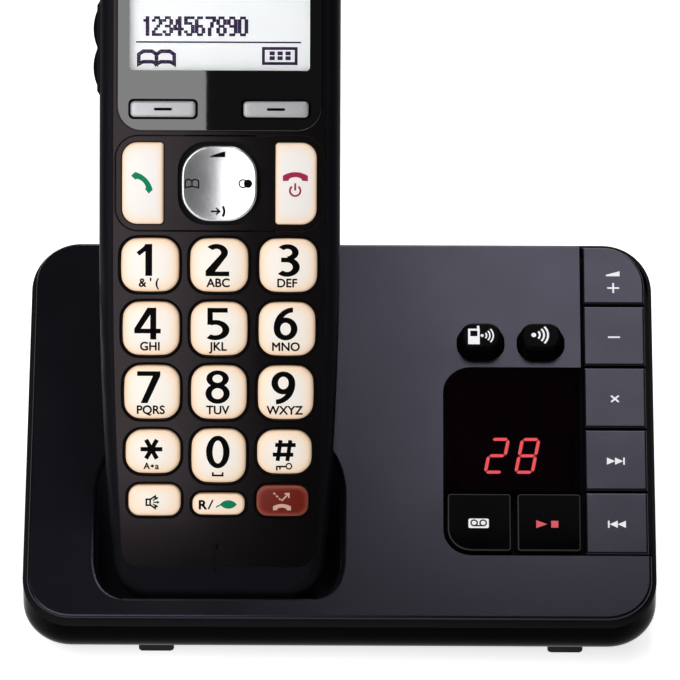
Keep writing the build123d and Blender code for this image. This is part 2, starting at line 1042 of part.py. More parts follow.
def make_handset_screws():
    screws = []
    for x, y in board_screw_places():
        head = rod(x, y, board_screw_head, -board_face, -board_face + flange_thickness)
        shank_end = board_back + board_screw_length - cell_gap
        screws.append(head + rod(x, y, board_screw_diameter, -shank_end, -board_face))
    return Compound(screws)


def cradle_form(grow):
    """The space that the handset's lower end stands in, grown by a wall for its outside."""
    end_depth = handset_end_depth + cradle_back_gap
    low = -seat_gap - grow
    high = handset_taper_start
    back_low = -end_depth - grow
    back_high = back_low - back_rise * (high - low)
    front = cradle_front_gap + grow
    side = Plane.YZ * make_face(
        Polyline((low, front), (high, front), (high, back_high), (low, back_low), close=True)
    )
    form = extrude(side, cradle_width / 2 + grow, both=True)
    heel = form.faces().sort_by(Axis.Y)[0].edges().filter_by(Axis.X).sort_by(Axis.Z)[0]
    form = fillet(heel, handset_back_radius + grow)
    toe = form.faces().sort_by(Axis.Y)[0].edges().filter_by(Axis.X).sort_by(Axis.Z)[-1]
    form = fillet(toe, cradle_toe_radius + grow)
    upright = form.edges().filter_by(
        lambda edge: abs(edge.tangent_at(0.5).X) < 0.5 and edge.length > (high - low) / 2
    )
    return fillet(upright, cradle_corner + grow)


def plan_block(inset, low, high):
    """An upright block with the bottom case's plan, drawn in by an inset."""
    face = RectangleRounded(
        base_width - 2 * inset, base_depth - 2 * inset, base_corner_radius - inset
    )
    return Pos(0, plan_middle_y) * prism(face, low, high)


def slab(low, high):
    """Everything between two heights above the sloped top."""
    return top_frame * block(-tall, tall, -tall, tall, low, high)


def top_prism(face, low, high):
    return top_frame * prism(face, low, high)


def key_field(grow):
    """Outline of the sunken field that the base's keys and counter stand in."""
    panel = cornered(
        block_left - grow,
        column_left + column_key_gap,
        block_front - grow,
        block_rear + grow,
        {"front_left": block_corner, "rear_left": block_corner},
    )
    column = cornered(
        column_left - grow, base_width, column_front - grow, base_width, {}
    )
    return panel + column


def column_key_span(index):
    low = column_front + index * column_pitch + column_key_gap / 2
    return low, low + column_pitch - column_key_gap


def tile_spans():
    """The answer key and the play key: name, left and right side, and corner radii."""
    left = block_left + tile_margin
    right = column_left - tile_column_gap
    width = (right - left - tile_spacing) / 2
    small = tile_inner_corner
    large = block_corner - tile_margin
    return (
        ("answer_key", left, left + width, large),
        ("play_key", right - width, right, small),
    )


def tile_outline(left, right, front_left, grow=0):
    corners = {
        "front_left": front_left + grow,
        "front_right": tile_inner_corner + grow,
        "rear_left": tile_inner_corner + grow,
        "rear_right": tile_inner_corner + grow,
    }
    low = column_front + tile_margin
    high = tile_rear - column_key_gap
    return cornered(left - grow, right + grow, low - grow, high + grow, corners)


def stem_places():
    """Where each base key's stem stands on the sloped top."""
    places = {}
    for index, name in enumerate(column_key_names):
        low, high = column_key_span(index)
        places[name] = (stem_x, (low + high) / 2)
    for name, left, right, corner in tile_spans():
        places[name] = ((left + right) / 2, (column_front + tile_rear) / 2)
    places["locator_key"] = (oval_left_x, oval_y)
    places["intercom_key"] = (oval_right_x, oval_y)
    return places


def stem(place, top):
    return top_frame * rod(*place, stem_diameter, -stem_end, -top)


def make_base_keys():
    keys = {}
    places = stem_places()
    outwards = Axis((0, 0, 0), top_frame.z_dir)
    for index, name in enumerate(column_key_names):
        low, high = column_key_span(index)
        left = column_left + column_key_gap
        face = cornered(left, right_side, low, high, {})
        cap = top_prism(face, -base_key_bottom, base_key_proud) & plan_block(column_edge, 0, tall)
        cap = fillet(cap.faces().sort_by(outwards)[-1].edges(), base_key_edge)
        keys[name] = cap + stem(places[name], base_key_bottom)
    for name, left, right, corner in tile_spans():
        cap = prism(tile_outline(left, right, corner), -base_key_bottom, base_key_proud)
        cap = fillet(cap.faces().sort_by(Axis.Z)[-1].edges(), base_key_edge)
        keys[name] = top_frame * cap + stem(places[name], base_key_bottom)
    flange_top = cover_thickness + flange_gap
    for name in ("locator_key", "intercom_key"):
        x, y = places[name]
        face = RectangleRounded(oval_width, oval_height, oval_corner)
        shaft = prism(face, -flange_top, 0)
        top = RectangleRounded(oval_top_width, oval_top_height, oval_top_corner)
        shaft += loft([face, Pos(0, 0, oval_rise) * top])
        shaft = fillet(shaft.faces().sort_by(Axis.Z)[-1].edges(), oval_edge_radius)
        flange = RectangleRounded(
            oval_width + 2 * key_flange, oval_height + 2 * key_flange, oval_corner + key_flange
        )
        shaft += prism(flange, -flange_top - flange_thickness, -flange_top)
        cap = top_frame * Pos(x, y) * shaft
        keys[name] = cap + stem(places[name], flange_top)
    return keys


def standoff_places():
    """Pillars that hold the base's board: x, y and where each starts below the top."""
    column_gap = column_front + column_pitch
    return (
        (standoff_left_x, standoff_front_y, cover_thickness),
        (standoff_left_x, standoff_rear_y, cover_thickness),
        (stem_x, column_gap, tray_depth + tray_thickness / 2),
        (stem_x, column_gap + block_pitches * column_pitch, tray_depth + tray_thickness / 2),
    )


def case_screw_places():
    return (
        (-screw_side_x, screw_left_front_y),
        (screw_side_x, screw_front_y),
        (-screw_side_x, screw_left_rear_y),
        (screw_right_rear_x, screw_rear_y),
    )


def pin_holes(diameter, low, high):
    """Round bars along the handset's axis at the two charge contacts, in the handset's frame."""
    bars = []
    for side in (-1, 1):
        bar = Rot(-90, 0, 0) * Cylinder(diameter / 2, high - low)
        bars.append(Pos(side * charge_x, (low + high) / 2, -charge_depth) * bar)
    return bars


def cradle_rim(cover):
    """Edges of the cradle's mouth in the cover's sloped top."""
    tops = [
        face for face in cover.faces() if abs(top_frame.to_local_coords(face.center()).Z) < cover_fit
    ]
    top = max(tops, key=lambda face: face.area)
    return top.inner_wires()[0].edges()


def make_base_top_cover():
    """The sloped cover with its cradle and the sunken field for the keys."""
    rim_face = Pos(0, top_length / 2) * RectangleRounded(
        base_width - 2 * cover_inset, top_length, base_corner_radius - cover_inset
    )
    rim = prism(rim_face, -cover_rim, 0)
    rim = top_frame * fillet(rim.faces().sort_by(Axis.Z)[-1].edges(), cover_edge_radius)
    inside = plan_block(base_wall + cover_fit, 0, tall)
    cover = rim + (inside & slab(-cover_thickness, -cover_rim))
    tray_bottom = tray_depth + tray_thickness
    cover += inside & top_prism(key_field(tray_wall), -tray_bottom, -cover_rim)
    cover += handset_frame * cradle_form(cradle_wall) & slab(-tall, -cover_rim) & inside
    boss_top = foot_height + boss_height
    for x, y in case_screw_places():
        post = rod(x, y, post_diameter, boss_top, tall)
        cover += post & slab(-tall, -cover_rim)
    for x, y, start in standoff_places():
        cover += top_frame * rod(x, y, standoff_diameter, -base_board_face, -start)
    cover -= handset_frame * cradle_form(0)
    cover = fillet(cradle_rim(cover), cradle_rim_radius)
    cover -= top_prism(key_field(0), -tray_depth, tall)
    for name, place in stem_places().items():
        cover -= top_frame * rod(*place, stem_diameter + 2 * stem_gap, -tray_bottom - cut_past, 0)
    for x in (oval_left_x, oval_right_x):
        hole = RectangleRounded(
            oval_width + 2 * key_gap, oval_height + 2 * key_gap, oval_corner + key_gap
        )
        cover -= top_frame * Pos(x, oval_y) * prism(hole, -tray_bottom, oval_rise)
    opening = Pos(counter_x, counter_y) * Rectangle(
        counter_width + 2 * counter_gap, counter_height + 2 * counter_gap
    )
    cover -= top_prism(opening, -2 * tray_bottom, 0)
    for x, y in case_screw_places():
        cover -= rod(x, y, screw_diameter + screw_fit, boss_top - cut_past, boss_top + screw_grip)
    for x, y, start in standoff_places():
        cover -= top_frame * rod(
            x, y, board_screw_diameter + screw_fit, -base_board_face, -start - tray_thickness / 2
        )
    for bar in pin_holes(pin_diameter + 2 * pin_gap, -2 * pin_head, pin_head):
        cover -= handset_frame * bar
    return cover


def jack_place(jack_x, width, height, length):
    """Box of a jack that stands on the shelf against the rear wall."""
    return block(
        jack_x - width / 2,
        jack_x + width / 2,
        inner_wall_y - length,
        inner_wall_y,
        jack_floor,
        jack_floor + height,
    )


def line_socket(fit):
    return block(
        line_jack_x - line_socket_width / 2 - fit,
        line_jack_x + line_socket_width / 2 + fit,
        inner_wall_y - line_socket_depth,
        inner_wall_y + 2 * base_wall,
        jack_floor + line_socket_rise - fit,
        jack_floor + line_socket_rise + line_socket_height + fit,
    )


def power_bar(diameter, start):
    """A round bar along the power socket, from a depth inside the wall to outside it."""
    low = inner_wall_y - start
    high = inner_wall_y + 2 * base_wall
    bar = Rot(-90, 0, 0) * Cylinder(diameter / 2, high - low)
    return Pos(power_jack_x, (low + high) / 2, jack_floor + power_jack_height / 2) * bar


def make_line_jack():
    jack = jack_place(line_jack_x, line_jack_width, line_jack_height, line_jack_length)
    return jack - line_socket(0)


def make_power_jack():
    jack = jack_place(power_jack_x, power_jack_width, power_jack_height, power_jack_length)
    pin = power_bar(power_pin_diameter, power_socket_depth + cut_past) & block(
        -tall, tall, -tall, inner_wall_y, -tall, tall
    )
    return jack - power_bar(power_socket_diameter, power_socket_depth) + pin


def foot_places():
    return [(x, y) for x in (foot_left_x, foot_right_x) for y in (foot_front_y, foot_rear_y)]


def foot_face(fit=0):
    return RectangleRounded(
        foot_width + 2 * fit, foot_length + 2 * fit, foot_corner_radius + fit
    )


def make_base_feet():
    feet = []
    for x, y in foot_places():
        foot = prism(foot_face(), 0, foot_height + foot_peg)
        foot = fillet(foot.faces().sort_by(Axis.Z)[0].edges(), foot_edge_radius)
        feet.append(Pos(x, y) * foot)
    return Compound(feet)


def make_base_bottom_case():
    """The hull: tall at the rear, with rounded lower edges all round."""
    hull = plan_block(0, foot_height, tall) & slab(-tall, -cover_rim)
    hull = fillet(hull.faces().sort_by(Axis.Z)[0].edges(), hull_radius)
    hollow = plan_block(base_wall, floor_top, tall)
    hollow = fillet(hollow.faces().sort_by(Axis.Z)[0].edges(), hull_radius - base_wall)
    case = hull - hollow
    step = plan_block(rim_lip, 0, tall) & slab(-tray_depth - cover_fit, tall)
    case -= step & top_frame * block(column_left, tall, column_front, tall, -tall, tall)
    boss_top = foot_height + boss_height
    for x, y in case_screw_places():
        case += rod(x, y, boss_diameter, foot_height + base_floor / 2, boss_top)
        case -= rod(x, y, screw_diameter + 2 * screw_fit, 0, boss_top)
        case -= rod(x, y, screw_head + 2 * screw_fit, 0, boss_top - boss_web)
    for x, y in foot_places():
        case -= Pos(x, y) * prism(foot_face(screw_fit), 0, foot_height + foot_peg)
    middle = (sound_slot_count - 1) / 2
    for index in range(sound_slot_count):
        slot = Pos(speaker_x, speaker_y + (index - middle) * sound_slot_pitch) * SlotOverall(
            sound_slot_length, sound_slot_width
        )
        case -= prism(slot, 0, floor_top + cut_past)
    case += block(
        line_jack_x - line_jack_width / 2,
        power_jack_x + power_jack_width / 2,
        jack_front,
        inner_wall_y + base_wall / 2,
        floor_top - base_floor / 2,
        jack_floor,
    )
    case -= line_socket(jack_fit)
    case -= power_bar(power_socket_diameter + 2 * jack_fit, 0)
    return case


def make_base_screws():
    """Four case screws from below, and four that hold the board to its pillars."""
    screws = []
    boss_top = foot_height + boss_height
    seat = boss_top - boss_web
    for x, y in case_screw_places():
        head = rod(x, y, screw_head, seat - screw_head_height, seat)
        screws.append(head + rod(x, y, screw_diameter, seat, boss_top + screw_grip - screw_fit))
    for x, y, start in standoff_places():
        head_end = base_board_back + flange_thickness
        head = rod(x, y, board_screw_head, -head_end, -base_board_back)
        shank = rod(x, y, board_screw_diameter, -base_board_back, -start - tray_thickness)
        screws.append(top_frame * (head + shank))
    return Compound(screws)


def make_counter_window():
    """The glossy window over the counter, on a skirt that stands in the key field."""
    left = block_left + window_gap
    right = column_left - tile_column_gap
    low = tile_rear
    high = block_rear - window_gap
    outer = cornered(left, right, low, high, {"rear_left": block_corner - window_gap})
    inner = cornered(
        left + window_skirt,
        right - window_skirt,
        low + window_skirt,
        high - window_skirt,
        {"rear_left": block_corner - window_gap - window_skirt},
    )
    window = prism(outer, -tray_depth, window_proud)
    window -= prism(inner, -tray_depth, window_proud - window_thickness)
    return top_frame * window


def make_led_counter():
    face = Pos(counter_x, counter_y) * Rectangle(counter_width, counter_height)
    top = window_thickness - window_proud + counter_clear
    return top_prism(face, -base_board_face, -top)


def base_board_face_outline():
    main = cornered(base_board_left, base_board_right, base_board_front, base_board_rear, {})
    strip = cornered(base_strip_left, base_board_right, base_board_front, base_strip_rear, {})
    return main + strip


def make_base_board():
    board = top_prism(base_board_face_outline(), -base_board_back, -base_board_face)
    for x, y, start in standoff_places():
        board -= top_frame * rod(x, y, board_screw_diameter + screw_fit, -tall, 0)
    return board


def make_base_key_mat():
    """The rubber sheet under the keys' stems."""
    reach = stem_diameter
    spans = []
    places = stem_places()
    for name in ("answer_key", "play_key", "locator_key", "intercom_key"):
        x, y = places[name]
        spans.append(
            cornered(x - reach, base_board_right, y - reach, y + reach, {})
        )
    sheet = cornered(
        base_strip_left, base_board_right, base_board_front, base_strip_rear, {}
    )
    for span in spans:
        sheet += span
    mat = prism(sheet, -base_board_face, -base_mat_face)
    for x, y, start in standoff_places():
        mat -= rod(x, y, standoff_diameter + 2 * key_gap, -tall, 0)
    return top_frame * mat


def make_base_loudspeaker():
    ring = rod(speaker_x, speaker_y, speaker_diameter, floor_top, floor_top + speaker_flange)
    cone_height = speaker_height - speaker_flange
    cone = Pos(speaker_x, speaker_y, floor_top + speaker_flange + cone_height / 2) * Cone(
        speaker_diameter / 2 - speaker_flange, speaker_cone_diameter / 2, cone_height
    )
    return ring + cone


def make_charge_pins():
    """Two sprung pins that stand through the cradle's floor."""
    floor_bottom = -seat_gap - cradle_wall
    head_top = floor_bottom - flange_gap
    shafts = pin_holes(pin_diameter, head_top - pin_head_height - pin_tail, pin_rise - seat_gap)
    heads = pin_holes(pin_head, head_top - pin_head_height, head_top)
    return [shaft + head for shaft, head in zip(shafts, heads)]


def make_handset():
    body = handset_body(0, 0, handset_front_radius, handset_back_radius)
    cavity = handset_body(
        handset_wall, plate_floor + ledge_thickness, 0, handset_back_radius - handset_wall
    )
    nodes = {
        "handset_front_case": make_handset_front_case(body, cavity),
        "handset_rear_case": make_handset_rear_case(body, cavity),
        "face_plate": make_face_plate(),
        "display_panel": make_display_panel(),
        "lcd_window": make_lcd_window(),
        "lcd_module": make_lcd_module(),
        "earpiece_speaker": make_earpiece_speaker(),
        "nav_key": make_nav_key(),
        "nav_pivot": make_nav_pivot(),
        "volume_rocker": make_volume_rocker(),
        "keypad_mat": make_keypad_mat(),
        "handset_board": make_handset_board(),
        "handset_microphone": make_handset_microphone(),
        "handset_loudspeaker": make_handset_loudspeaker(),
        "battery_cells": make_battery_cells(),
        "battery_contacts": make_battery_contacts(),
        "battery_cover": make_battery_cover(),
        "charge_plates": Compound(charge_openings()),
        "handset_screws": make_handset_screws(),
    }
    nodes.update(make_handset_keys())
    return {name: placed(handset_frame, solid) for name, solid in nodes.items()}


def make_base():
    pin_left, pin_right = make_charge_pins()
    nodes = {
        "base_top_cover": make_base_top_cover(),
        "base_bottom_case": make_base_bottom_case(),
        "counter_window": make_counter_window(),
        "led_counter": make_led_counter(),
        "base_key_mat": make_base_key_mat(),
        "base_board": make_base_board(),
        "base_loudspeaker": make_base_loudspeaker(),
        "charge_pin_left": handset_frame * pin_left,
        "charge_pin_right": handset_frame * pin_right,
        "base_feet": make_base_feet(),
        "base_screws": make_base_screws(),
        "line_jack": make_line_jack(),
        "power_jack": make_power_jack(),
    }
    nodes.update(make_base_keys())
    return nodes


def placed_nodes():
    """Every node, with the whole part centred over the origin."""
    nodes = make_base()
    nodes.update(make_handset())
    boxes = [solid.bounding_box() for solid in nodes.values()]
    y_low = min(box.min.Y for box in boxes)
    y_high = max(box.max.Y for box in boxes)
    centre = Pos(0, -(y_low + y_high) / 2, 0)
    return {name: placed(centre, solid) for name, solid in nodes.items()}, centre


nodes, centre = placed_nodes()
os.makedirs("parts", exist_ok=True)
for name, solid in nodes.items():
    export_step(solid, "parts/" + name + ".step")
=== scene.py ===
import json
import math
from functools import cache

import bmesh
import bpy
from bpy.props import FloatProperty, FloatVectorProperty, PointerProperty
from mathutils import Matrix, Vector


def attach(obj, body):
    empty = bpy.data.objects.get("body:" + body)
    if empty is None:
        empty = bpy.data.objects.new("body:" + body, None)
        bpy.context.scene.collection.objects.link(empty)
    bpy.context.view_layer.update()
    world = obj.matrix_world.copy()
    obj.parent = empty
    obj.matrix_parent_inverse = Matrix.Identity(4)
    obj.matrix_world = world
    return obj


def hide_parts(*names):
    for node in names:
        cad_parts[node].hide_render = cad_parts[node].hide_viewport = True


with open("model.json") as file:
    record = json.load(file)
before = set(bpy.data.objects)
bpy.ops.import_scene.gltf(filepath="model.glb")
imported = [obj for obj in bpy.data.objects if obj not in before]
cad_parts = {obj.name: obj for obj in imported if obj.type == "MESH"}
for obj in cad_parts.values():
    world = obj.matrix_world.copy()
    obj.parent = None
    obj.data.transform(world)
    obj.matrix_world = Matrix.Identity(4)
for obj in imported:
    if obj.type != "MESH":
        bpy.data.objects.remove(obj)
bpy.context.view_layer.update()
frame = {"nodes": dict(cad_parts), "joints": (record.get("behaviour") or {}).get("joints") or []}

bl_info = {
    "name": "Cordless phone looks",
    "version": (1, 0, 0),
    "blender": (4, 5, 0),
    "location": "View3D > Sidebar > Phone",
    "description": "Finishes, key legends, display and studio for a cordless phone with an answering base",
    "category": "Object",
}

MM = 0.001
# Prints on a crowned cap are cut into squares of this many millimetres, so that they bend with it.
FINE_STEP = 0.8
# Soft patches that handling leaves on a surface, per metre.
HANDLING_SCALE = 60.0
JOINTS = {joint["name"]: joint for joint in frame["joints"]}


def face_axes(press_joint):
    """Turn from a face's own axes (right, up the face, outwards) to the part's axes."""
    outwards = -Vector(JOINTS[press_joint]["axis"])
    right = Vector((1, 0, 0))
    up = outwards.cross(right)
    return Matrix((right, up, outwards)).transposed()


HANDSET = face_axes("key_5_press")
BASE = face_axes("answer_key_press")


def colour_property(name, description, default):
    """A colour that the user can change."""
    return FloatVectorProperty(
        name=name, description=description, default=default, subtype="COLOR", min=0, max=1
    )


def length_property(name, description, default):
    """A length in metres that the user can change."""
    return FloatProperty(
        name=name, description=description, default=default, unit="LENGTH", precision=5
    )


def amount_property(name, description, default, **kind):
    """A strength or an amount that the user can change, never below zero."""
    return FloatProperty(name=name, description=description, default=default, min=0, **kind)


class PhoneCaseLook(bpy.types.PropertyGroup):
    """Finishes of the cases, the feet and the hidden pieces."""

    matte: colour_property("Matte case", "Colour of the grained black plastic", (0.0034, 0.0032, 0.0044))
    plate: colour_property("Face plate", "Colour of the handset's satin plate", (0.0022, 0.0020, 0.0022))
    gloss: colour_property("Gloss case", "Colour of the polished black plastic", (0.0016, 0.0016, 0.0018))
    smoke: colour_property("Smoked pane", "Colour of the counter's window", (0.0030, 0.0006, 0.0016))
    sheen: colour_property("Sheen", "Tint of what the matte plastic reflects", (0.78, 0.75, 1.0))
    plate_sheen: colour_property("Plate sheen", "Tint of what the plate reflects", (1.0, 0.82, 0.9))
    # Painted light: the bottom case's back and sides are painted paler than its black front.
    rear_painted_light: colour_property("Rear", "Colour of the bottom case's back and sides", (0.016, 0.016, 0.017))
    # Painted highlight on the polished tiles' rolled edges.
    edge: colour_property("Edge", "Colour of the polished keys' rolled edges", (0.05, 0.05, 0.052))
    rubber: colour_property("Rubber", "Colour of the feet and the key mats", (0.012, 0.012, 0.013))
    board: colour_property("Board", "Colour of the circuit boards", (0.012, 0.10, 0.045))
    steel: colour_property("Steel", "Colour of screws and contacts", (0.62, 0.61, 0.59))
    grain: length_property("Grain", "Distance between grains of the matte texture", 0.0004)


class PhoneKeyLook(bpy.types.PropertyGroup):
    """Finishes and print of the keys."""

    cream: colour_property("Cream", "Middle of the lit keys", (0.90, 0.84, 0.76))
    peach: colour_property("Peach", "Edge of the lit keys", (0.96, 0.68, 0.46))
    ivory: colour_property("Ivory", "Middle of the talk and off keys", (0.84, 0.80, 0.765))
    red: colour_property("Red", "Call-block key", (0.17, 0.013, 0.007))
    # Painted highlight: the call-block key's rim is painted paler than its middle.
    red_rim: colour_property("Red rim", "Edge of the call-block key", (0.40, 0.11, 0.075))
    silver: colour_property("Silver", "Painted soft keys", (0.47, 0.47, 0.49))
    brushed: colour_property("Brushed silver", "Navigation key", (0.60, 0.60, 0.62))
    # Also the colour of the painted shade round the handset keys' openings.
    black_ink: colour_property("Black ink", "Print on the pale keys", (0.0022, 0.0021, 0.0024))
    green_ink: colour_property("Green ink", "Print on the talk key and the leaf", (0.009, 0.29, 0.13))
    magenta_ink: colour_property("Magenta ink", "Print on the off key", (0.48, 0.035, 0.10))
    pale_ink: colour_property("Pale ink", "Print on the call-block key", (0.85, 0.55, 0.45))
    white_ink: colour_property("White ink", "Print on the base's keys", (0.85, 0.86, 0.88))
    red_ink: colour_property("Red ink", "Print on the play key", (0.75, 0.12, 0.14))
    glow: amount_property("Glow", "How strongly the keys are lit from below", 0.25)
    # Painted light: the base's white and red print are made to glow.
    white_painted_glow: amount_property("White ink's glow", "How strongly the white print is lit", 0.4)
    red_painted_glow: amount_property("Red ink's glow", "How strongly the red print is lit", 0.3)
    digit: length_property("Digit height", "Height of the large digits", 0.0070)
    letter: length_property("Letter height", "Height of the letters under the digits", 0.0018)
    lift: length_property("Ink thickness", "How far the print stands above a key", 0.00004)


class PhoneScreenLook(bpy.types.PropertyGroup):
    """The handset's display and the base's counter."""

    lit: colour_property("Lit screen", "Background of the display", (0.90, 0.905, 0.875))
    screen_glow: amount_property("Screen glow", "How strongly the display is lit", 0.26)
    dot: colour_property("Dots", "Dark dots of the display", (0.055, 0.030, 0.085))
    dot_pitch: length_property("Dot pitch", "Distance between display dots", 0.00050)
    dot_width: length_property("Dot width", "Width of one display dot", 0.00082)
    dot_height: length_property("Dot height", "Height of one display dot", 0.00062)
    segment: colour_property("Segments", "Lit segments of the counter", (1.0, 0.11, 0.13))
    segment_glow: amount_property("Segment glow", "How strongly the segments are lit", 13.0)
    count_height: length_property("Count height", "Height of the counter's digits", 0.0091)
    count_width: length_property("Count width", "Width of the counter's digits", 0.0044)
    count_slant: FloatProperty(
        name="Slant", description="Lean of the counter's digits", default=0.18, subtype="ANGLE"
    )


class PhoneStage(bpy.types.PropertyGroup):
    """Floor, lamps and camera."""

    floor: colour_property("Floor", "Colour of the studio floor", (0.93, 0.93, 0.93))
    world: amount_property("Fill", "Strength of the even light from all round", 0.08)
    lift: amount_property("Floor lift", "How far the floor is lifted towards white", 0.75)
    card_power: amount_property("Card power", "Power of the card on the left", 0.71, unit="POWER")
    strip_power: amount_property("Strip power", "Power of the strip overhead", 0.53, unit="POWER")
    back_power: amount_property("Back power", "Power of the lamp behind", 3.0, unit="POWER")
    lens: FloatProperty(
        name="Lens", description="Focal length in millimetres", default=361.56, min=1
    )
    camera: FloatVectorProperty(
        name="Camera", description="Where the camera stands", default=(0.00852, -1.2502, 0.9252),
        subtype="TRANSLATION",
    )
    aim: FloatVectorProperty(
        name="Aim", description="What the camera looks at", default=(-0.000256, 0.00641, 0.04533),
        subtype="TRANSLATION",
    )


def span(node, turn):
    """Lowest and highest corner of a node along a face's own axes."""
    back = turn.transposed()
    points = [back @ vertex.co for vertex in frame["nodes"][node].data.vertices]
    low = Vector([min(point[axis] for point in points) for axis in range(3)])
    high = Vector([max(point[axis] for point in points) for axis in range(3)])
    return low, high


class Face:
    """The top of a key or a pane: its axes, its middle, its height and its crown."""

    def __init__(self, node, turn, flange=0.0, crown=None):
        low, high = span(node, turn)
        self.turn = turn
        self.x = (low.x + high.x) / 2
        self.y = (low.y + high.y) / 2
        self.half_width = (high.x - low.x) / 2 - flange
        self.half_height = (high.y - low.y) / 2 - flange
        self.bottom = low.z
        self.top = high.z
        self.crown = crown

    def height(self, x, y):
        """Height over a point, lowest at the rim of a crown and in the middle of a dish."""
        if self.crown is None:
            return self.top
        reach = x * x + y * y
        if self.crown > 0:
            return self.top - reach / (2 * self.crown)
        return self.top + (self.half_width**2 - reach) / (2 * self.crown)

    def place(self, x, y, z):
        """A point given from the face's middle, in the part's axes."""
        return self.turn @ Vector((self.x + x, self.y + y, z))


def make_piece(name, mesh, body, material, smooth=False):
    """A finished mesh as a piece that rides on a body."""
    if smooth:
        mesh.shade_smooth()
    mesh.materials.append(material)
    piece = bpy.data.objects.new(name, mesh)
    bpy.context.scene.collection.objects.link(piece)
    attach(piece, body)
    return piece


def mesh_from(name, shape):
    """Turn an edited shape into a mesh and let the shape go."""
    mesh = bpy.data.meshes.new(name)
    shape.to_mesh(mesh)
    shape.free()
    return mesh


def soft_outline(half_width, half_height, corners, bow=0.0, steps=8):
    """Points round a rectangle with its own radius at each corner and sides that swell by a bow.

    The corners go round from the upper right: upper right, upper left, lower left, lower right.
    """
    wide = half_width - bow
    tall = half_height - bow
    signs = ((1, 1), (-1, 1), (-1, -1), (1, -1))
    arcs = []
    for quarter, (sign_x, sign_y) in enumerate(signs):
        radius = corners[quarter]
        arc = []
        for step in range(steps + 1):
            angle = math.radians(90 * (quarter + step / steps))
            x = sign_x * (wide - radius) + radius * math.cos(angle)
            y = sign_y * (tall - radius) + radius * math.sin(angle)
            arc.append((x, y))
        arcs.append(arc)
    points = []
    for quarter, arc in enumerate(arcs):
        points.extend(arc)
        start = arc[-1]
        end = arcs[(quarter + 1) % len(arcs)][0]
        for step in range(1, steps):
            share = step / steps
            points.append((start[0] + (end[0] - start[0]) * share, start[1] + (end[1] - start[1]) * share))
    swollen = []
    for x, y in points:
        wider = 1 + bow / wide * (1 - (y / tall) ** 2)
        taller = 1 + bow / tall * (1 - (x / wide) ** 2)
        swollen.append((x * wider, y * taller))
    return swollen


def cap_mesh(name, face, outline, roll, edge_width):
    """A crowned cap with a rolled edge, and the share of the edge kept in an attribute."""
    roll_steps = 6
    inner_steps = 8
    shape = bmesh.new()
    share_layer = shape.verts.layers.float.new("edge_share")
    smallest = min(face.half_width, face.half_height)
    rings = [(0.0, 0.0, None)]
    for step in range(roll_steps + 1):
        angle = math.radians(90 * step / roll_steps)
        rings.append((roll * (1 - math.cos(angle)), 0.0, roll * (1 - math.sin(angle))))
    for step in range(1, inner_steps):
        rings.append((roll, step / inner_steps, 0.0))
    loops = []
    for inset, shrink, drop in rings:
        scale_x = (1 - inset / face.half_width) * (1 - shrink)
        scale_y = (1 - inset / face.half_height) * (1 - shrink)
        from_edge = inset + shrink * (smallest - inset)
        loop = []
        for x, y in outline:
            x = x * scale_x
            y = y * scale_y
            z = face.bottom if drop is None else face.height(x, y) - drop
            vertex = shape.verts.new(face.place(x, y, z))
            vertex[share_layer] = max(0.0, 1 - from_edge / edge_width)
            loop.append(vertex)
        loops.append(loop)
    count = len(outline)
    for lower, upper in zip(loops, loops[1:]):
        for index in range(count):
            following = (index + 1) % count
            shape.faces.new((lower[index], lower[following], upper[following], upper[index]))
    middle = shape.verts.new(face.place(0, 0, face.height(0, 0)))
    for index in range(count):
        shape.faces.new((loops[-1][index], loops[-1][(index + 1) % count], middle))
    shape.faces.new(list(reversed(loops[0])))
    return mesh_from(name, shape)


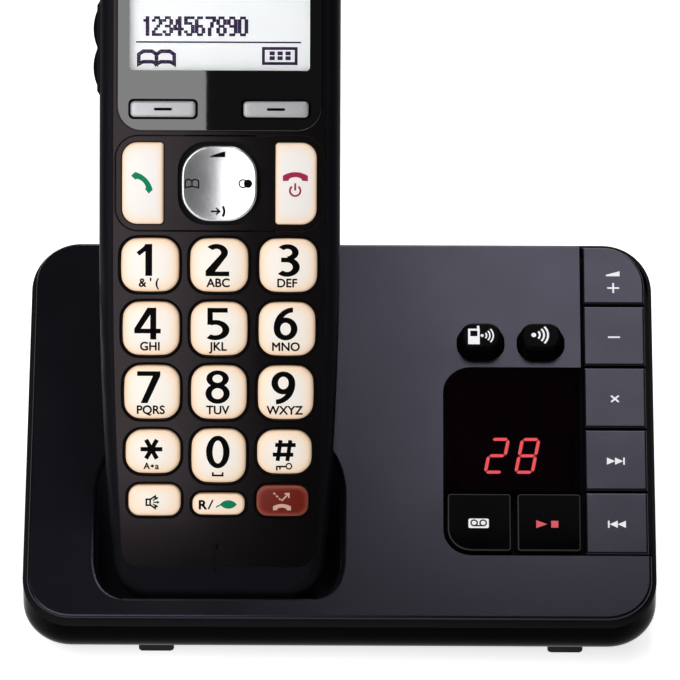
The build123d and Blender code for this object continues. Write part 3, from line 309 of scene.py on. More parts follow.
class Ink:
    """Flat printed marks, in millimetres from the middle of a face, kept as one mesh."""

    def __init__(self):
        self.shape = bmesh.new()

    def fill(self, points):
        """A filled outline."""
        self.shape.faces.new([self.shape.verts.new((x, y, 0)) for x, y in points])

    def bar(self, x_low, y_low, x_high, y_high):
        """A filled rectangle between two corners."""
        self.fill(((x_low, y_low), (x_high, y_low), (x_high, y_high), (x_low, y_high)))

    def disc(self, x, y, radius, points=28):
        """A filled circle."""
        self.fill(arc_points(x, y, radius, 0, 360 - 360 / points, points - 1))

    def line(self, points, width, closed=False):
        """A line of even width through some points."""
        path = [Vector(point) for point in points]
        count = len(path)
        left = []
        right = []
        for index, point in enumerate(path):
            sides = []
            if closed or index > 0:
                sides.append((point - path[index - 1]).normalized())
            if closed or index < count - 1:
                sides.append((path[(index + 1) % count] - point).normalized())
            across = [Vector((-side.y, side.x)) for side in sides]
            middle = sum(across, Vector((0, 0))).normalized()
            reach = width / 2 / max(0.3, middle.dot(across[0]))
            left.append(self.shape.verts.new((*(point + middle * reach), 0)))
            right.append(self.shape.verts.new((*(point - middle * reach), 0)))
        last = count if closed else count - 1
        for index in range(last):
            following = (index + 1) % count
            self.shape.faces.new((right[index], right[following], left[following], left[index]))

    def arc(self, x, y, radius, start, end, width, points=14):
        """A line along part of a circle, between two angles in degrees."""
        self.line(arc_points(x, y, radius, start, end, points), width)

    def bowl(self, x, y, outer, inner, start=0, end=360, points=26):
        """Part of a ring between two ovals, each given by its half width and half height."""
        rims = [oval_points(x, y, *oval, start, end, points) for oval in (outer, inner)]
        self.fill_between(*rims)

    def fill_between(self, one_side, other_side):
        """A strip between two rows of as many points."""
        rows = [[self.shape.verts.new((x, y, 0)) for x, y in row] for row in (one_side, other_side)]
        for index in range(len(one_side) - 1):
            corners = (rows[0][index], rows[0][index + 1], rows[1][index + 1], rows[1][index])
            self.shape.faces.new(corners)

    def ring(self, x, y, radius, width, points=28):
        """A line round a whole circle."""
        self.line(arc_points(x, y, radius, 0, 360 - 360 / points, points - 1), width, closed=True)

    def word(self, text, height, x, y, bold=0.0, narrow=1.0):
        """Plain lettering of a given capital height, with its middle at a point.

        Each rim is drawn over with a line as wide as bold, which thickens the strokes.
        """
        mesh = text_mesh(text)
        first_vertex = len(self.shape.verts)
        first_edge = len(self.shape.edges)
        self.shape.from_mesh(mesh)
        self.shape.verts.ensure_lookup_table()
        self.shape.edges.ensure_lookup_table()
        letters = self.shape.verts[first_vertex:]
        rims = [edge for edge in self.shape.edges[first_edge:] if edge.is_boundary]
        capital = capital_height()
        scale = height / capital
        low = min(vertex.co.x for vertex in letters)
        high = max(vertex.co.x for vertex in letters)
        for vertex in letters:
            along = (vertex.co.x - (low + high) / 2) * scale * narrow
            vertex.co = (x + along, y + (vertex.co.y - capital / 2) * scale, 0)
        if bold:
            for ends in [[vertex.co.xy for vertex in rim.verts] for rim in rims]:
                self.line(ends, bold)
        bpy.data.meshes.remove(mesh)

    def moved(self, x, y, turn=0.0, scale=1.0):
        """Turn, size and shift every mark made so far."""
        angle = math.radians(turn)
        for vertex in self.shape.verts:
            old_x = vertex.co.x * scale
            old_y = vertex.co.y * scale
            vertex.co.x = x + old_x * math.cos(angle) - old_y * math.sin(angle)
            vertex.co.y = y + old_x * math.sin(angle) + old_y * math.cos(angle)
        return self

    def add(self, other):
        """Take in the marks of another."""
        mesh = mesh_from("marks", other.shape)
        self.shape.from_mesh(mesh)
        bpy.data.meshes.remove(mesh)

    def cut_fine(self):
        """Cut the marks into small squares, so that they can follow a crown."""
        for across in (Vector((1, 0, 0)), Vector((0, 1, 0))):
            reach = max(abs(vertex.co.dot(across)) for vertex in self.shape.verts)
            count = int(reach / FINE_STEP)
            for step in range(-count, count + 1):
                parts = self.shape.verts[:] + self.shape.edges[:] + self.shape.faces[:]
                bmesh.ops.bisect_plane(
                    self.shape, geom=parts, plane_co=across * step * FINE_STEP, plane_no=across
                )

    def print_on(self, name, face, body, material, slot, lift):
        """Lay the marks on a face as a thin solid that follows its crown."""
        sunk = 5 * lift
        if face.crown:
            self.cut_fine()
        for vertex in self.shape.verts:
            x = vertex.co.x * MM
            y = vertex.co.y * MM
            vertex.co = (x, y, face.height(x, y) - sunk)
        everything = self.shape.verts[:] + self.shape.edges[:] + self.shape.faces[:]
        raised = bmesh.ops.extrude_face_region(self.shape, geom=everything, use_keep_orig=True)
        for part in raised["geom"]:
            if isinstance(part, bmesh.types.BMVert):
                part.co.z += sunk + lift
        bmesh.ops.recalc_face_normals(self.shape, faces=self.shape.faces[:])
        for vertex in self.shape.verts:
            vertex.co = face.place(*vertex.co)
        return make_piece(name, mesh_from(name, self.shape), body, material)


def oval_points(x, y, half_width, half_height, start, end, steps):
    """Points along part of an oval, between two angles in degrees."""
    points = []
    for step in range(steps + 1):
        angle = math.radians(start + (end - start) * step / steps)
        points.append((x + half_width * math.cos(angle), y + half_height * math.sin(angle)))
    return points


def arc_points(x, y, radius, start, end, steps):
    """Points along part of a circle."""
    return oval_points(x, y, radius, radius, start, end, steps)


def text_mesh(text):
    """Filled lettering of size 1 in the plain built-in typeface."""
    curve = bpy.data.curves.new("lettering", "FONT")
    curve.body = text
    curve.resolution_u = 6
    piece = bpy.data.objects.new("lettering", curve)
    bpy.context.scene.collection.objects.link(piece)
    bpy.context.view_layer.update()
    seen = piece.evaluated_get(bpy.context.evaluated_depsgraph_get())
    mesh = bpy.data.meshes.new_from_object(seen)
    bpy.data.objects.remove(piece)
    bpy.data.curves.remove(curve)
    return mesh


@cache
def capital_height():
    """Height of a capital letter in lettering of size 1."""
    mesh = text_mesh("H")
    height = max(vertex.co.y for vertex in mesh.vertices)
    bpy.data.meshes.remove(mesh)
    return height


def new_group(name, inputs, outputs):
    """A shader node group with its sockets, and the two nodes at its ends."""
    group = bpy.data.node_groups.new(name, "ShaderNodeTree")
    for direction, sockets in (("INPUT", inputs), ("OUTPUT", outputs)):
        for socket in sockets:
            group.interface.new_socket(name=socket, in_out=direction, socket_type="NodeSocketFloat")
    return group, group.nodes.new("NodeGroupInput"), group.nodes.new("NodeGroupOutput")


def place_group(tree, name, make_group, **values):
    """Put a shared node group into a material with its own values. The first use makes the group."""
    node = tree.nodes.new("ShaderNodeGroup")
    node.node_tree = bpy.data.node_groups.get(name) or make_group(name)
    for socket, value in values.items():
        node.inputs[socket].default_value = value
    return node


def colour_mix(tree, first=None, second=None):
    """A node that mixes two colours, each given here or linked later."""
    mix = tree.nodes.new("ShaderNodeMix")
    mix.data_type = "RGBA"
    for socket, colour in (("A", first), ("B", second)):
        if colour is not None:
            mix.inputs[socket].default_value = (*colour, 1)
    return mix


def math_node(tree, operation, *constants):
    """A calculation on a value that is linked later, with the other values given here."""
    node = tree.nodes.new("ShaderNodeMath")
    node.operation = operation
    for index, constant in enumerate(constants, 1):
        node.inputs[index].default_value = constant
    return node


def noise(group, scale_from, detail, roughness=0.6):
    """A noise texture in the part's own coordinates whose scale comes from a socket."""
    coordinates = group.nodes.new("ShaderNodeTexCoord")
    texture = group.nodes.new("ShaderNodeTexNoise")
    texture.inputs["Detail"].default_value = detail
    texture.inputs["Roughness"].default_value = roughness
    group.links.new(coordinates.outputs["Object"], texture.inputs["Vector"])
    group.links.new(scale_from, texture.inputs["Scale"])
    return texture.outputs["Fac"]


def make_grain_group(name):
    """Fine grain of moulded plastic: a height for bump, and a tone that varies with it."""
    group, start, end = new_group(name, ("Scale",), ("Height", "Tone"))
    fine = noise(group, start.outputs["Scale"], 3.0)
    spread = group.nodes.new("ShaderNodeMapRange")
    spread.inputs["From Min"].default_value = 0.3
    spread.inputs["From Max"].default_value = 0.7
    group.links.new(fine, spread.inputs["Value"])
    group.links.new(fine, end.inputs["Height"])
    group.links.new(spread.outputs["Result"], end.inputs["Tone"])
    return group


def make_handling_group(name):
    """Broad soft patches, as handling leaves on plastic, as a roughness between two values."""
    group, start, end = new_group(name, ("Scale", "Low", "High"), ("Roughness",))
    broad = noise(group, start.outputs["Scale"], 4.0, 0.5)
    spread = group.nodes.new("ShaderNodeMapRange")
    spread.inputs["From Min"].default_value = 0.35
    spread.inputs["From Max"].default_value = 0.65
    group.links.new(broad, spread.inputs["Value"])
    group.links.new(start.outputs["Low"], spread.inputs["To Min"])
    group.links.new(start.outputs["High"], spread.inputs["To Max"])
    group.links.new(spread.outputs["Result"], end.inputs["Roughness"])
    return group


def make_depth_group(name):
    """Share of the way from a level of the base's sloped top down to a deeper one."""
    group, start, end = new_group(name, ("Level", "Deep"), ("Share",))
    coordinates = group.nodes.new("ShaderNodeTexCoord")
    height = group.nodes.new("ShaderNodeVectorMath")
    height.operation = "DOT_PRODUCT"
    height.inputs[1].default_value = BASE @ Vector((0, 0, 1))
    spread = group.nodes.new("ShaderNodeMapRange")
    group.links.new(coordinates.outputs["Object"], height.inputs[0])
    group.links.new(height.outputs["Value"], spread.inputs["Value"])
    group.links.new(start.outputs["Level"], spread.inputs["From Min"])
    group.links.new(start.outputs["Deep"], spread.inputs["From Max"])
    group.links.new(spread.outputs["Result"], end.inputs["Share"])
    return group


FINISHES = {}


def finish(name, colour, second, rough, grain, depth, emission=None, **constants):
    """A plastic, rubber or metal finish: two close tones, grain bump and patchy roughness.

    Rough holds the least and the most roughness. Grain is the distance between grains and depth the
    height of their bump, in metres. The constants go to the shader's own sockets.
    """
    material = bpy.data.materials.new(name)
    material.use_nodes = True
    tree = material.node_tree
    shader = tree.nodes["Principled BSDF"]
    texture = place_group(tree, "Moulded grain", make_grain_group, Scale=1 / grain)
    tones = colour_mix(tree, colour, second)
    tree.links.new(texture.outputs["Tone"], tones.inputs["Factor"])
    tree.links.new(tones.outputs["Result"], shader.inputs["Base Color"])
    handling = place_group(
        tree, "Handling", make_handling_group, Scale=HANDLING_SCALE, Low=rough[0], High=rough[1]
    )
    tree.links.new(handling.outputs["Roughness"], shader.inputs["Roughness"])
    bump = tree.nodes.new("ShaderNodeBump")
    bump.inputs["Distance"].default_value = depth
    bump.inputs["Strength"].default_value = 1.0
    tree.links.new(texture.outputs["Height"], bump.inputs["Height"])
    tree.links.new(bump.outputs["Normal"], shader.inputs["Normal"])
    if emission:
        shader.inputs["Emission Color"].default_value = (*emission, 1)
    for socket, value in constants.items():
        shader.inputs[socket.replace("_", " ")].default_value = value
    FINISHES[name] = material
    return material


def lit_key_finish(name, middle, edge, glow):
    """Translucent key plastic: cream in the middle, warmer at the edge, lit a little from below."""
    material = finish(name, middle, edge, (0.38, 0.46), 0.0006, 0.000004)
    tree = material.node_tree
    shader = tree.nodes["Principled BSDF"]
    share = tree.nodes.new("ShaderNodeAttribute")
    share.attribute_name = "edge_share"
    curve = math_node(tree, "POWER", 1.6)
    tones = colour_mix(tree, middle, edge)
    tree.links.new(share.outputs["Fac"], curve.inputs[0])
    tree.links.new(curve.outputs["Value"], tones.inputs["Factor"])
    tree.links.new(tones.outputs["Result"], shader.inputs["Base Color"])
    tree.links.new(tones.outputs["Result"], shader.inputs["Emission Color"])
    shader.inputs["Emission Strength"].default_value = glow
    return material


def dull_below(material, level, deep):
    """Make a finish of the base dull where it lies below a level of the sloped top."""
    tree = material.node_tree
    shader = tree.nodes["Principled BSDF"]
    depth = place_group(tree, "Depth below the top", make_depth_group, Level=level, Deep=deep)
    duller = math_node(tree, "MAXIMUM")
    tree.links.new(shader.inputs["Roughness"].links[0].from_socket, duller.inputs[0])
    tree.links.new(depth.outputs["Share"], duller.inputs[1])
    tree.links.new(duller.outputs["Value"], shader.inputs["Roughness"])


def tone_facing(material, colour, axis, stops):
    """Mix a colour into a finish by how far its faces turn from an axis, which paints light or shade by
    facing.

    The stops give the colour's share at rising cosines of that turn.
    """
    tree = material.node_tree
    shader = tree.nodes["Principled BSDF"]
    geometry = tree.nodes.new("ShaderNodeNewGeometry")
    cosine = tree.nodes.new("ShaderNodeVectorMath")
    cosine.operation = "DOT_PRODUCT"
    cosine.inputs[1].default_value = axis
    halved = math_node(tree, "MULTIPLY_ADD", 0.5, 0.5)
    ramp = tree.nodes.new("ShaderNodeValToRGB")
    elements = ramp.color_ramp.elements
    while len(elements) < len(stops):
        elements.new(1.0)
    for element, (cosine_here, share) in zip(elements, stops):
        element.position = (cosine_here + 1) / 2
        element.color = (share, share, share, 1)
    tones = colour_mix(tree, second=colour)
    tree.links.new(geometry.outputs["Normal"], cosine.inputs[0])
    tree.links.new(cosine.outputs["Value"], halved.inputs[0])
    tree.links.new(halved.outputs["Value"], ramp.inputs["Fac"])
    tree.links.new(ramp.outputs["Color"], tones.inputs["Factor"])
    tree.links.new(shader.inputs["Base Color"].links[0].from_socket, tones.inputs["A"])
    tree.links.new(tones.outputs["Result"], shader.inputs["Base Color"])


def darker(colour, share):
    """A share of a colour."""
    return tuple(channel * share for channel in colour)


def paint(material, *nodes):
    """Give CAD nodes a finish."""
    for node in nodes:
        for slot in frame["nodes"][node].material_slots:
            slot.material = material


class PHONE_OT_finish_cases(bpy.types.Operator):
    """Give every case, pane and hidden piece its finish"""

    bl_idname = "phone.finish_cases"
    bl_label = "Finish the cases"

    def execute(self, context):
        look = context.scene.phone_case
        self.finish_shells(look)
        self.finish_panes(look)
        self.finish_inner_pieces(look)
        return {"FINISHED"}

    def finish_shells(self, look):
        """The cases, the face plate, the rocker and the feet."""
        tint = (*look.sheen, 1)
        matte, cover = [
            finish(
                name, look.matte, darker(look.matte, 0.7), (0.23, 0.27), look.grain, 0.000015,
                Specular_IOR_Level=0.42, Specular_Tint=tint,
            )
            for name in ("matte case", "matte cover")
        ]
        # The cradle and the other sunken faces of the cover don't shine.
        cover_top = span("base_top_cover", BASE)[1].z
        dull_below(cover, cover_top - 0.3 * MM, cover_top - 0.8 * MM)
        plate = finish(
            "satin plate", look.plate, darker(look.plate, 0.7), (0.14, 0.19), look.grain, 0.000004,
            Specular_IOR_Level=0.17, Specular_Tint=(*look.plate_sheen, 1),
        )
        side = finish(
            "dull case", look.matte, darker(look.matte, 0.7), (0.50, 0.56), look.grain, 0.00001,
            Specular_IOR_Level=0.09, Specular_Tint=tint,
        )
        gloss, hull = [
            finish(
                name, look.gloss, darker(look.gloss, 0.8), (0.05, 0.09), 0.004, 0.000004,
                Specular_IOR_Level=0.012,
            )
            for name in ("polished black", "polished hull")
        ]
        # Painted light: the hull is black in front and painted paler on its sides and back.
        tone_facing(hull, look.rear_painted_light, Vector((0, 1, 0)), ((-0.97, 0), (-0.3, 1)))
        rubber = finish(
            "moulded rubber", look.rubber, darker(look.rubber, 0.7), (0.75, 0.85), 0.0005, 0.00003
        )
        paint(matte, "handset_rear_case", "battery_cover")
        paint(cover, "base_top_cover")
        paint(plate, "face_plate")
        paint(side, "handset_front_case")
        paint(gloss, "volume_rocker")
        paint(hull, "base_bottom_case")
        paint(rubber, "base_feet", "keypad_mat", "base_key_mat", "nav_pivot")

    def finish_panes(self, look):
        """The display's panel and pane, and the counter's window."""
        panel = finish(
            "display panel", look.gloss, darker(look.gloss, 0.8), (0.012, 0.02), 0.004, 0.000001,
            Specular_IOR_Level=0.74,
        )
        # See-through in part, so that lit digits show and the dark counter doesn't.
        smoke = finish(
            "smoked pane", look.smoke, darker(look.smoke, 0.5), (0.03, 0.06), 0.004, 0.000002,
            Specular_IOR_Level=0.003, Alpha=0.75,
        )
        clear = finish(
            "clear pane", (0.97, 0.98, 1.0), (0.96, 0.97, 1.0), (0.02, 0.03), 0.004, 0.000001,
            Transmission_Weight=1.0, IOR=1.1,
        )
        paint(panel, "display_panel")
        paint(smoke, "counter_window")
        paint(clear, "lcd_window")

    def finish_inner_pieces(self, look):
        """The boards, contacts, screws, cells, speakers and jacks."""
        board = finish("board", look.board, darker(look.board, 0.6), (0.3, 0.45), 0.002, 0.00002)
        steel = finish(
            "plated steel", look.steel, darker(look.steel, 0.85), (0.22, 0.34), 0.0005, 0.000006,
            Metallic=1.0,
        )
        sleeve = finish("cell sleeve", (0.30, 0.32, 0.35), (0.26, 0.28, 0.3), (0.3, 0.4), 0.002, 0.00001)
        cone = finish("speaker", (0.02, 0.02, 0.02), (0.014, 0.014, 0.014), (0.6, 0.75), 0.0008, 0.00004)
        jack = finish("jack", (0.016, 0.016, 0.016), (0.012, 0.012, 0.012), (0.35, 0.5), 0.0006, 0.00001)
        paint(board, "handset_board", "base_board")
        paint(steel, "battery_contacts", "charge_plates", "handset_screws", "base_screws")
        paint(steel, "charge_pin_left", "charge_pin_right")
        paint(sleeve, "battery_cells")
        paint(cone, "earpiece_speaker", "handset_loudspeaker", "base_loudspeaker", "handset_microphone")
        paint(jack, "line_jack", "power_jack")


# The leaf on the recall key, in millimetres.
LEAF_LENGTH = 3.7
LEAF_RADIUS = 2.3
# The caps leave out the flanges that hold the solid keys under the face plate. The soft keys' caps
# stand a little farther in.
KEY_FLANGE = 0.5 * MM
SOFT_FLANGE = 0.7 * MM
KEY_CROWN = 45 * MM
KEY_ROLL = 0.9 * MM
KEY_CORNER = 2.85 * MM
KEY_BOW = 0.35 * MM
# How far in from a lit key's rim its warm edge reaches.
EDGE_WIDTH = 3.2 * MM
SMALL_CORNER = 2.2 * MM
RECALL_CORNER = 1.75 * MM
SMALL_BOW = 0.1 * MM
NAV_CORNER = 5.4 * MM
NAV_BOW = 0.5 * MM
NAV_DISH = 40 * MM
# The black ring of painted shade round an opening, which stands for the shaded gap beside a key, starts this
# far outside the cap.
KEY_GAP = 0.3 * MM
GAP_SHADE_WIDTH = 0.45 * MM


def key_cap(
    node, corners, bow, material, slot,
    roll=KEY_ROLL, flange=KEY_FLANGE, crown=KEY_CROWN, edge_width=EDGE_WIDTH,
):
    """A cap that stands for a handset key's solid."""
    face = Face(node, HANDSET, flange, crown)
    outline = soft_outline(face.half_width, face.half_height, corners, bow)
    mesh = cap_mesh(node + "_cap", face, outline, roll, edge_width)
    cap = make_piece(node + "_cap", mesh, node, material, smooth=True)
    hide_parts(node)
    return face


def paint_gap_shade(node, face, corner, bow, lift):
    """A black ring of painted shade round the opening that a key stands in, for the shaded gap at its rim.
    """
    reach = KEY_GAP + GAP_SHADE_WIDTH / 2
    outline = soft_outline(face.half_width + reach, face.half_height + reach, (corner + reach,) * 4, bow)
    ink = Ink()
    ink.line([(x / MM, y / MM) for x, y in outline], GAP_SHADE_WIDTH / MM, closed=True)
    opening = Face(node, HANDSET)
    opening.top = span("face_plate", HANDSET)[1].z
    ink.print_on(node + "_rim", opening, "handset", FINISHES["black ink"], "key_dark", lift)


def ink_finish(name, colour, glow=0.0):
    """Dull printing ink, which may be given a painted glow."""
    return finish(
        name, colour, darker(colour, 0.85), (0.6, 0.7), 0.0005, 0.000004, emission=colour,
        Specular_IOR_Level=0.03, Emission_Strength=glow,
    )


def receiver():
    """A telephone receiver lying face down, 5.5 wide."""
    half = 2.75
    inner = 1.35
    steps = 10
    points = []
    for step in range(steps + 1):
        x = -half + 2 * half * step / steps
        points.append((x, 1.0 - 0.8 * (x / half) ** 2))
    points += [(half, -1.0), (1.5, -0.9)]
    for step in range(steps + 1):
        x = inner - 2 * inner * step / steps
        points.append((x, -0.1 - 0.4 * (x / inner) ** 2))
    points += [(-1.5, -0.9), (-half, -1.0)]
    ink = Ink()
    ink.fill(list(reversed(points)))
    return ink


def digit_strokes(digit):
    """A bold digit of height 1 about its middle, with uprights thicker than its level strokes."""
    ink = Ink()
    level = 0.145
    top = 0.5
    foot = -0.5
    if digit == "0":
        ink.bowl(-0.02, 0, (0.372, 0.513), (0.167, 0.362))
    elif digit == "1":
        ink.bar(-0.14, foot, 0.073, top)
        ink.fill(((-0.14, 0.28), (-0.14, top), (-0.083, top), (-0.42, 0.24), (-0.328, 0.135)))
    elif digit == "2":
        outer = oval_points(-0.086, 0.24, 0.365, 0.27, 140, -25, 18)
        inner = oval_points(-0.086, 0.24, 0.15, 0.12, 140, -25, 18)
        ink.fill_between([*outer, (-0.128, foot + level)], [*inner, (-0.42, -0.33)])
        ink.bar(-0.42, foot, 0.32, foot + level)
        ink.fill(((-0.42, -0.33), (-0.42, foot + level), (-0.128, foot + level)))
    elif digit == "3":
        ink.bowl(-0.026, 0.25, (0.354, 0.26), (0.146, 0.115), 141, -90)
        ink.bowl(-0.036, -0.208, (0.40, 0.302), (0.177, 0.151), 90, -137)
        ink.bar(-0.224, -0.057, -0.03, 0.09)
    elif digit == "4":
        ink.bar(-0.016, foot, 0.172, top)
        ink.fill(((-0.016, 0.28), (-0.016, top), (-0.104, top), (-0.52, -0.16), (-0.3125, -0.16)))
        ink.bar(-0.52, -0.16 - level, 0.3125, -0.16)
    elif digit == "5":
        ink.bar(-0.34, top - level, 0.276, top)
        ink.bar(-0.36, -0.03, -0.19, top)
        ink.bowl(-0.115, -0.193, (0.448, 0.318), (0.229, 0.167), 122, -127)
    elif digit in "69":
        ink.bowl(-0.042, -0.151, (0.375, 0.36), (0.167, 0.198))
        ink.bowl(0.198, -0.125, (0.615, 0.646), (0.417, 0.495), 180, 91)
        if digit == "9":
            ink.moved(-0.115, 0, 180)
    elif digit == "7":
        ink.bar(-0.46, top - level, 0.268, top)
        ink.fill(((0.268, top - level), (0.034, top - level), (-0.346, foot), (-0.133, foot)))
    elif digit == "8":
        ink.bowl(-0.036, 0.276, (0.354, 0.26), (0.161, 0.128))
        ink.bowl(-0.034, -0.193, (0.383, 0.318), (0.1875, 0.172))
    return ink


def waves(ink, x, y, radii, width, spread=42):
    """Arcs that spread to the right from a point."""
    for radius in radii:
        ink.arc(x, y, radius, -spread, spread, width)


def book(ink, x, y, width, height, line):
    """An open book in outline."""
    half = width / 2
    rise = height * 0.18
    page = [(0, -height / 2 + rise), (0, height / 2 - rise), (half * 0.5, height / 2)]
    page += [(half, height / 2 - rise), (half, -height / 2), (half * 0.5, -height / 2 + rise / 2)]
    for side in (-1, 1):
        ink.line([(x + side * px, y + py) for px, py in page], line, closed=True)


class PHONE_OT_make_dial_keys(bpy.types.Operator):
    """Make the twelve dialling keys with their print"""

    bl_idname = "phone.make_dial_keys"
    bl_label = "Make the dialling keys"

    LETTERS = {
        "1": "& ' (", "2": "ABC", "3": "DEF",
        "4": "GHI", "5": "JKL", "6": "MNO",
        "7": "PQRS", "8": "TUV", "9": "WXYZ",
    }

    def execute(self, context):
        look = context.scene.phone_keys
        lit_key_finish("lit cream", look.cream, look.peach, look.glow)
        ink_finish("black ink", look.black_ink)
        for digit, letters in self.LETTERS.items():
            ink = Ink()
            ink.add(digit_strokes(digit).moved(0, 1.12, scale=look.digit / MM))
            ink.word(letters, look.letter / MM, -0.2, -3.85, bold=0.13)
            self.make_key("key_" + digit, ink, look)
        self.make_key("key_0", self.zero_print(look), look)
        self.make_key("key_star", self.star_print(), look)
        self.make_key("key_hash", self.hash_print(), look)
        return {"FINISHED"}

    def make_key(self, node, ink, look):
        """A soft square key, rounder where it is low, with its print and the painted shade round its
        opening.
        """
        face = Face(node, HANDSET, KEY_FLANGE)
        corner = min(KEY_CORNER, face.half_height - KEY_BOW)
        paint_gap_shade(node, face, corner, KEY_BOW, look.lift)
        face = key_cap(node, (corner,) * 4, KEY_BOW, FINISHES["lit cream"], "key_cream")
        ink.print_on(node + "_print", face, node, FINISHES["black ink"], "key_dark", look.lift)

    def zero_print(self, look):
        """A nought over the sign for a space."""
        ink = Ink()
        ink.add(digit_strokes("0").moved(0, 0.91, scale=look.digit / MM))
        ink.line(((-1.24, -3.57), (-1.24, -4.28), (0.92, -4.28), (0.92, -3.57)), 0.4)
        return ink

    def star_print(self):
        """A star of three strokes over a large and a small letter."""
        ink = Ink()
        for turn in (0, 60, 120):
            reach_x = 2.4 * math.cos(math.radians(turn))
            reach_y = 2.4 * math.sin(math.radians(turn))
            ink.line(((-0.27 - reach_x, 0.57 - reach_y), (-0.27 + reach_x, 0.57 + reach_y)), 0.95)
        ink.word("A", 1.4, -1.3, -3.13, bold=0.1)
        ink.fill(((-0.55, -3.13), (-0.07, -3.5), (0.41, -3.13), (-0.07, -2.76)))
        ink.word("a", 1.4, 0.95, -3.13, bold=0.1)
        return ink

    def hash_print(self):
        """A leaning hash over a key with two teeth."""
        ink = Ink()
        for top_x in (-0.82, 1.32):
            ink.line(((top_x - 0.66, -1.9), (top_x, 2.67)), 0.88)
        for middle_x, y in ((0.24, 1.61), (-0.28, -0.51)):
            ink.line(((middle_x - 2.26, y), (middle_x + 2.26, y)), 0.88)
        ink.ring(1.02, -3.07, 0.6, 0.29)
        ink.line(((0.4, -3.14), (-1.83, -3.14)), 0.36)
        for tooth, drop in ((-1.83, 0.85), (-1.12, 0.65)):
            ink.bar(tooth, -3.14 - drop, tooth + 0.34, -3.14)
        return ink


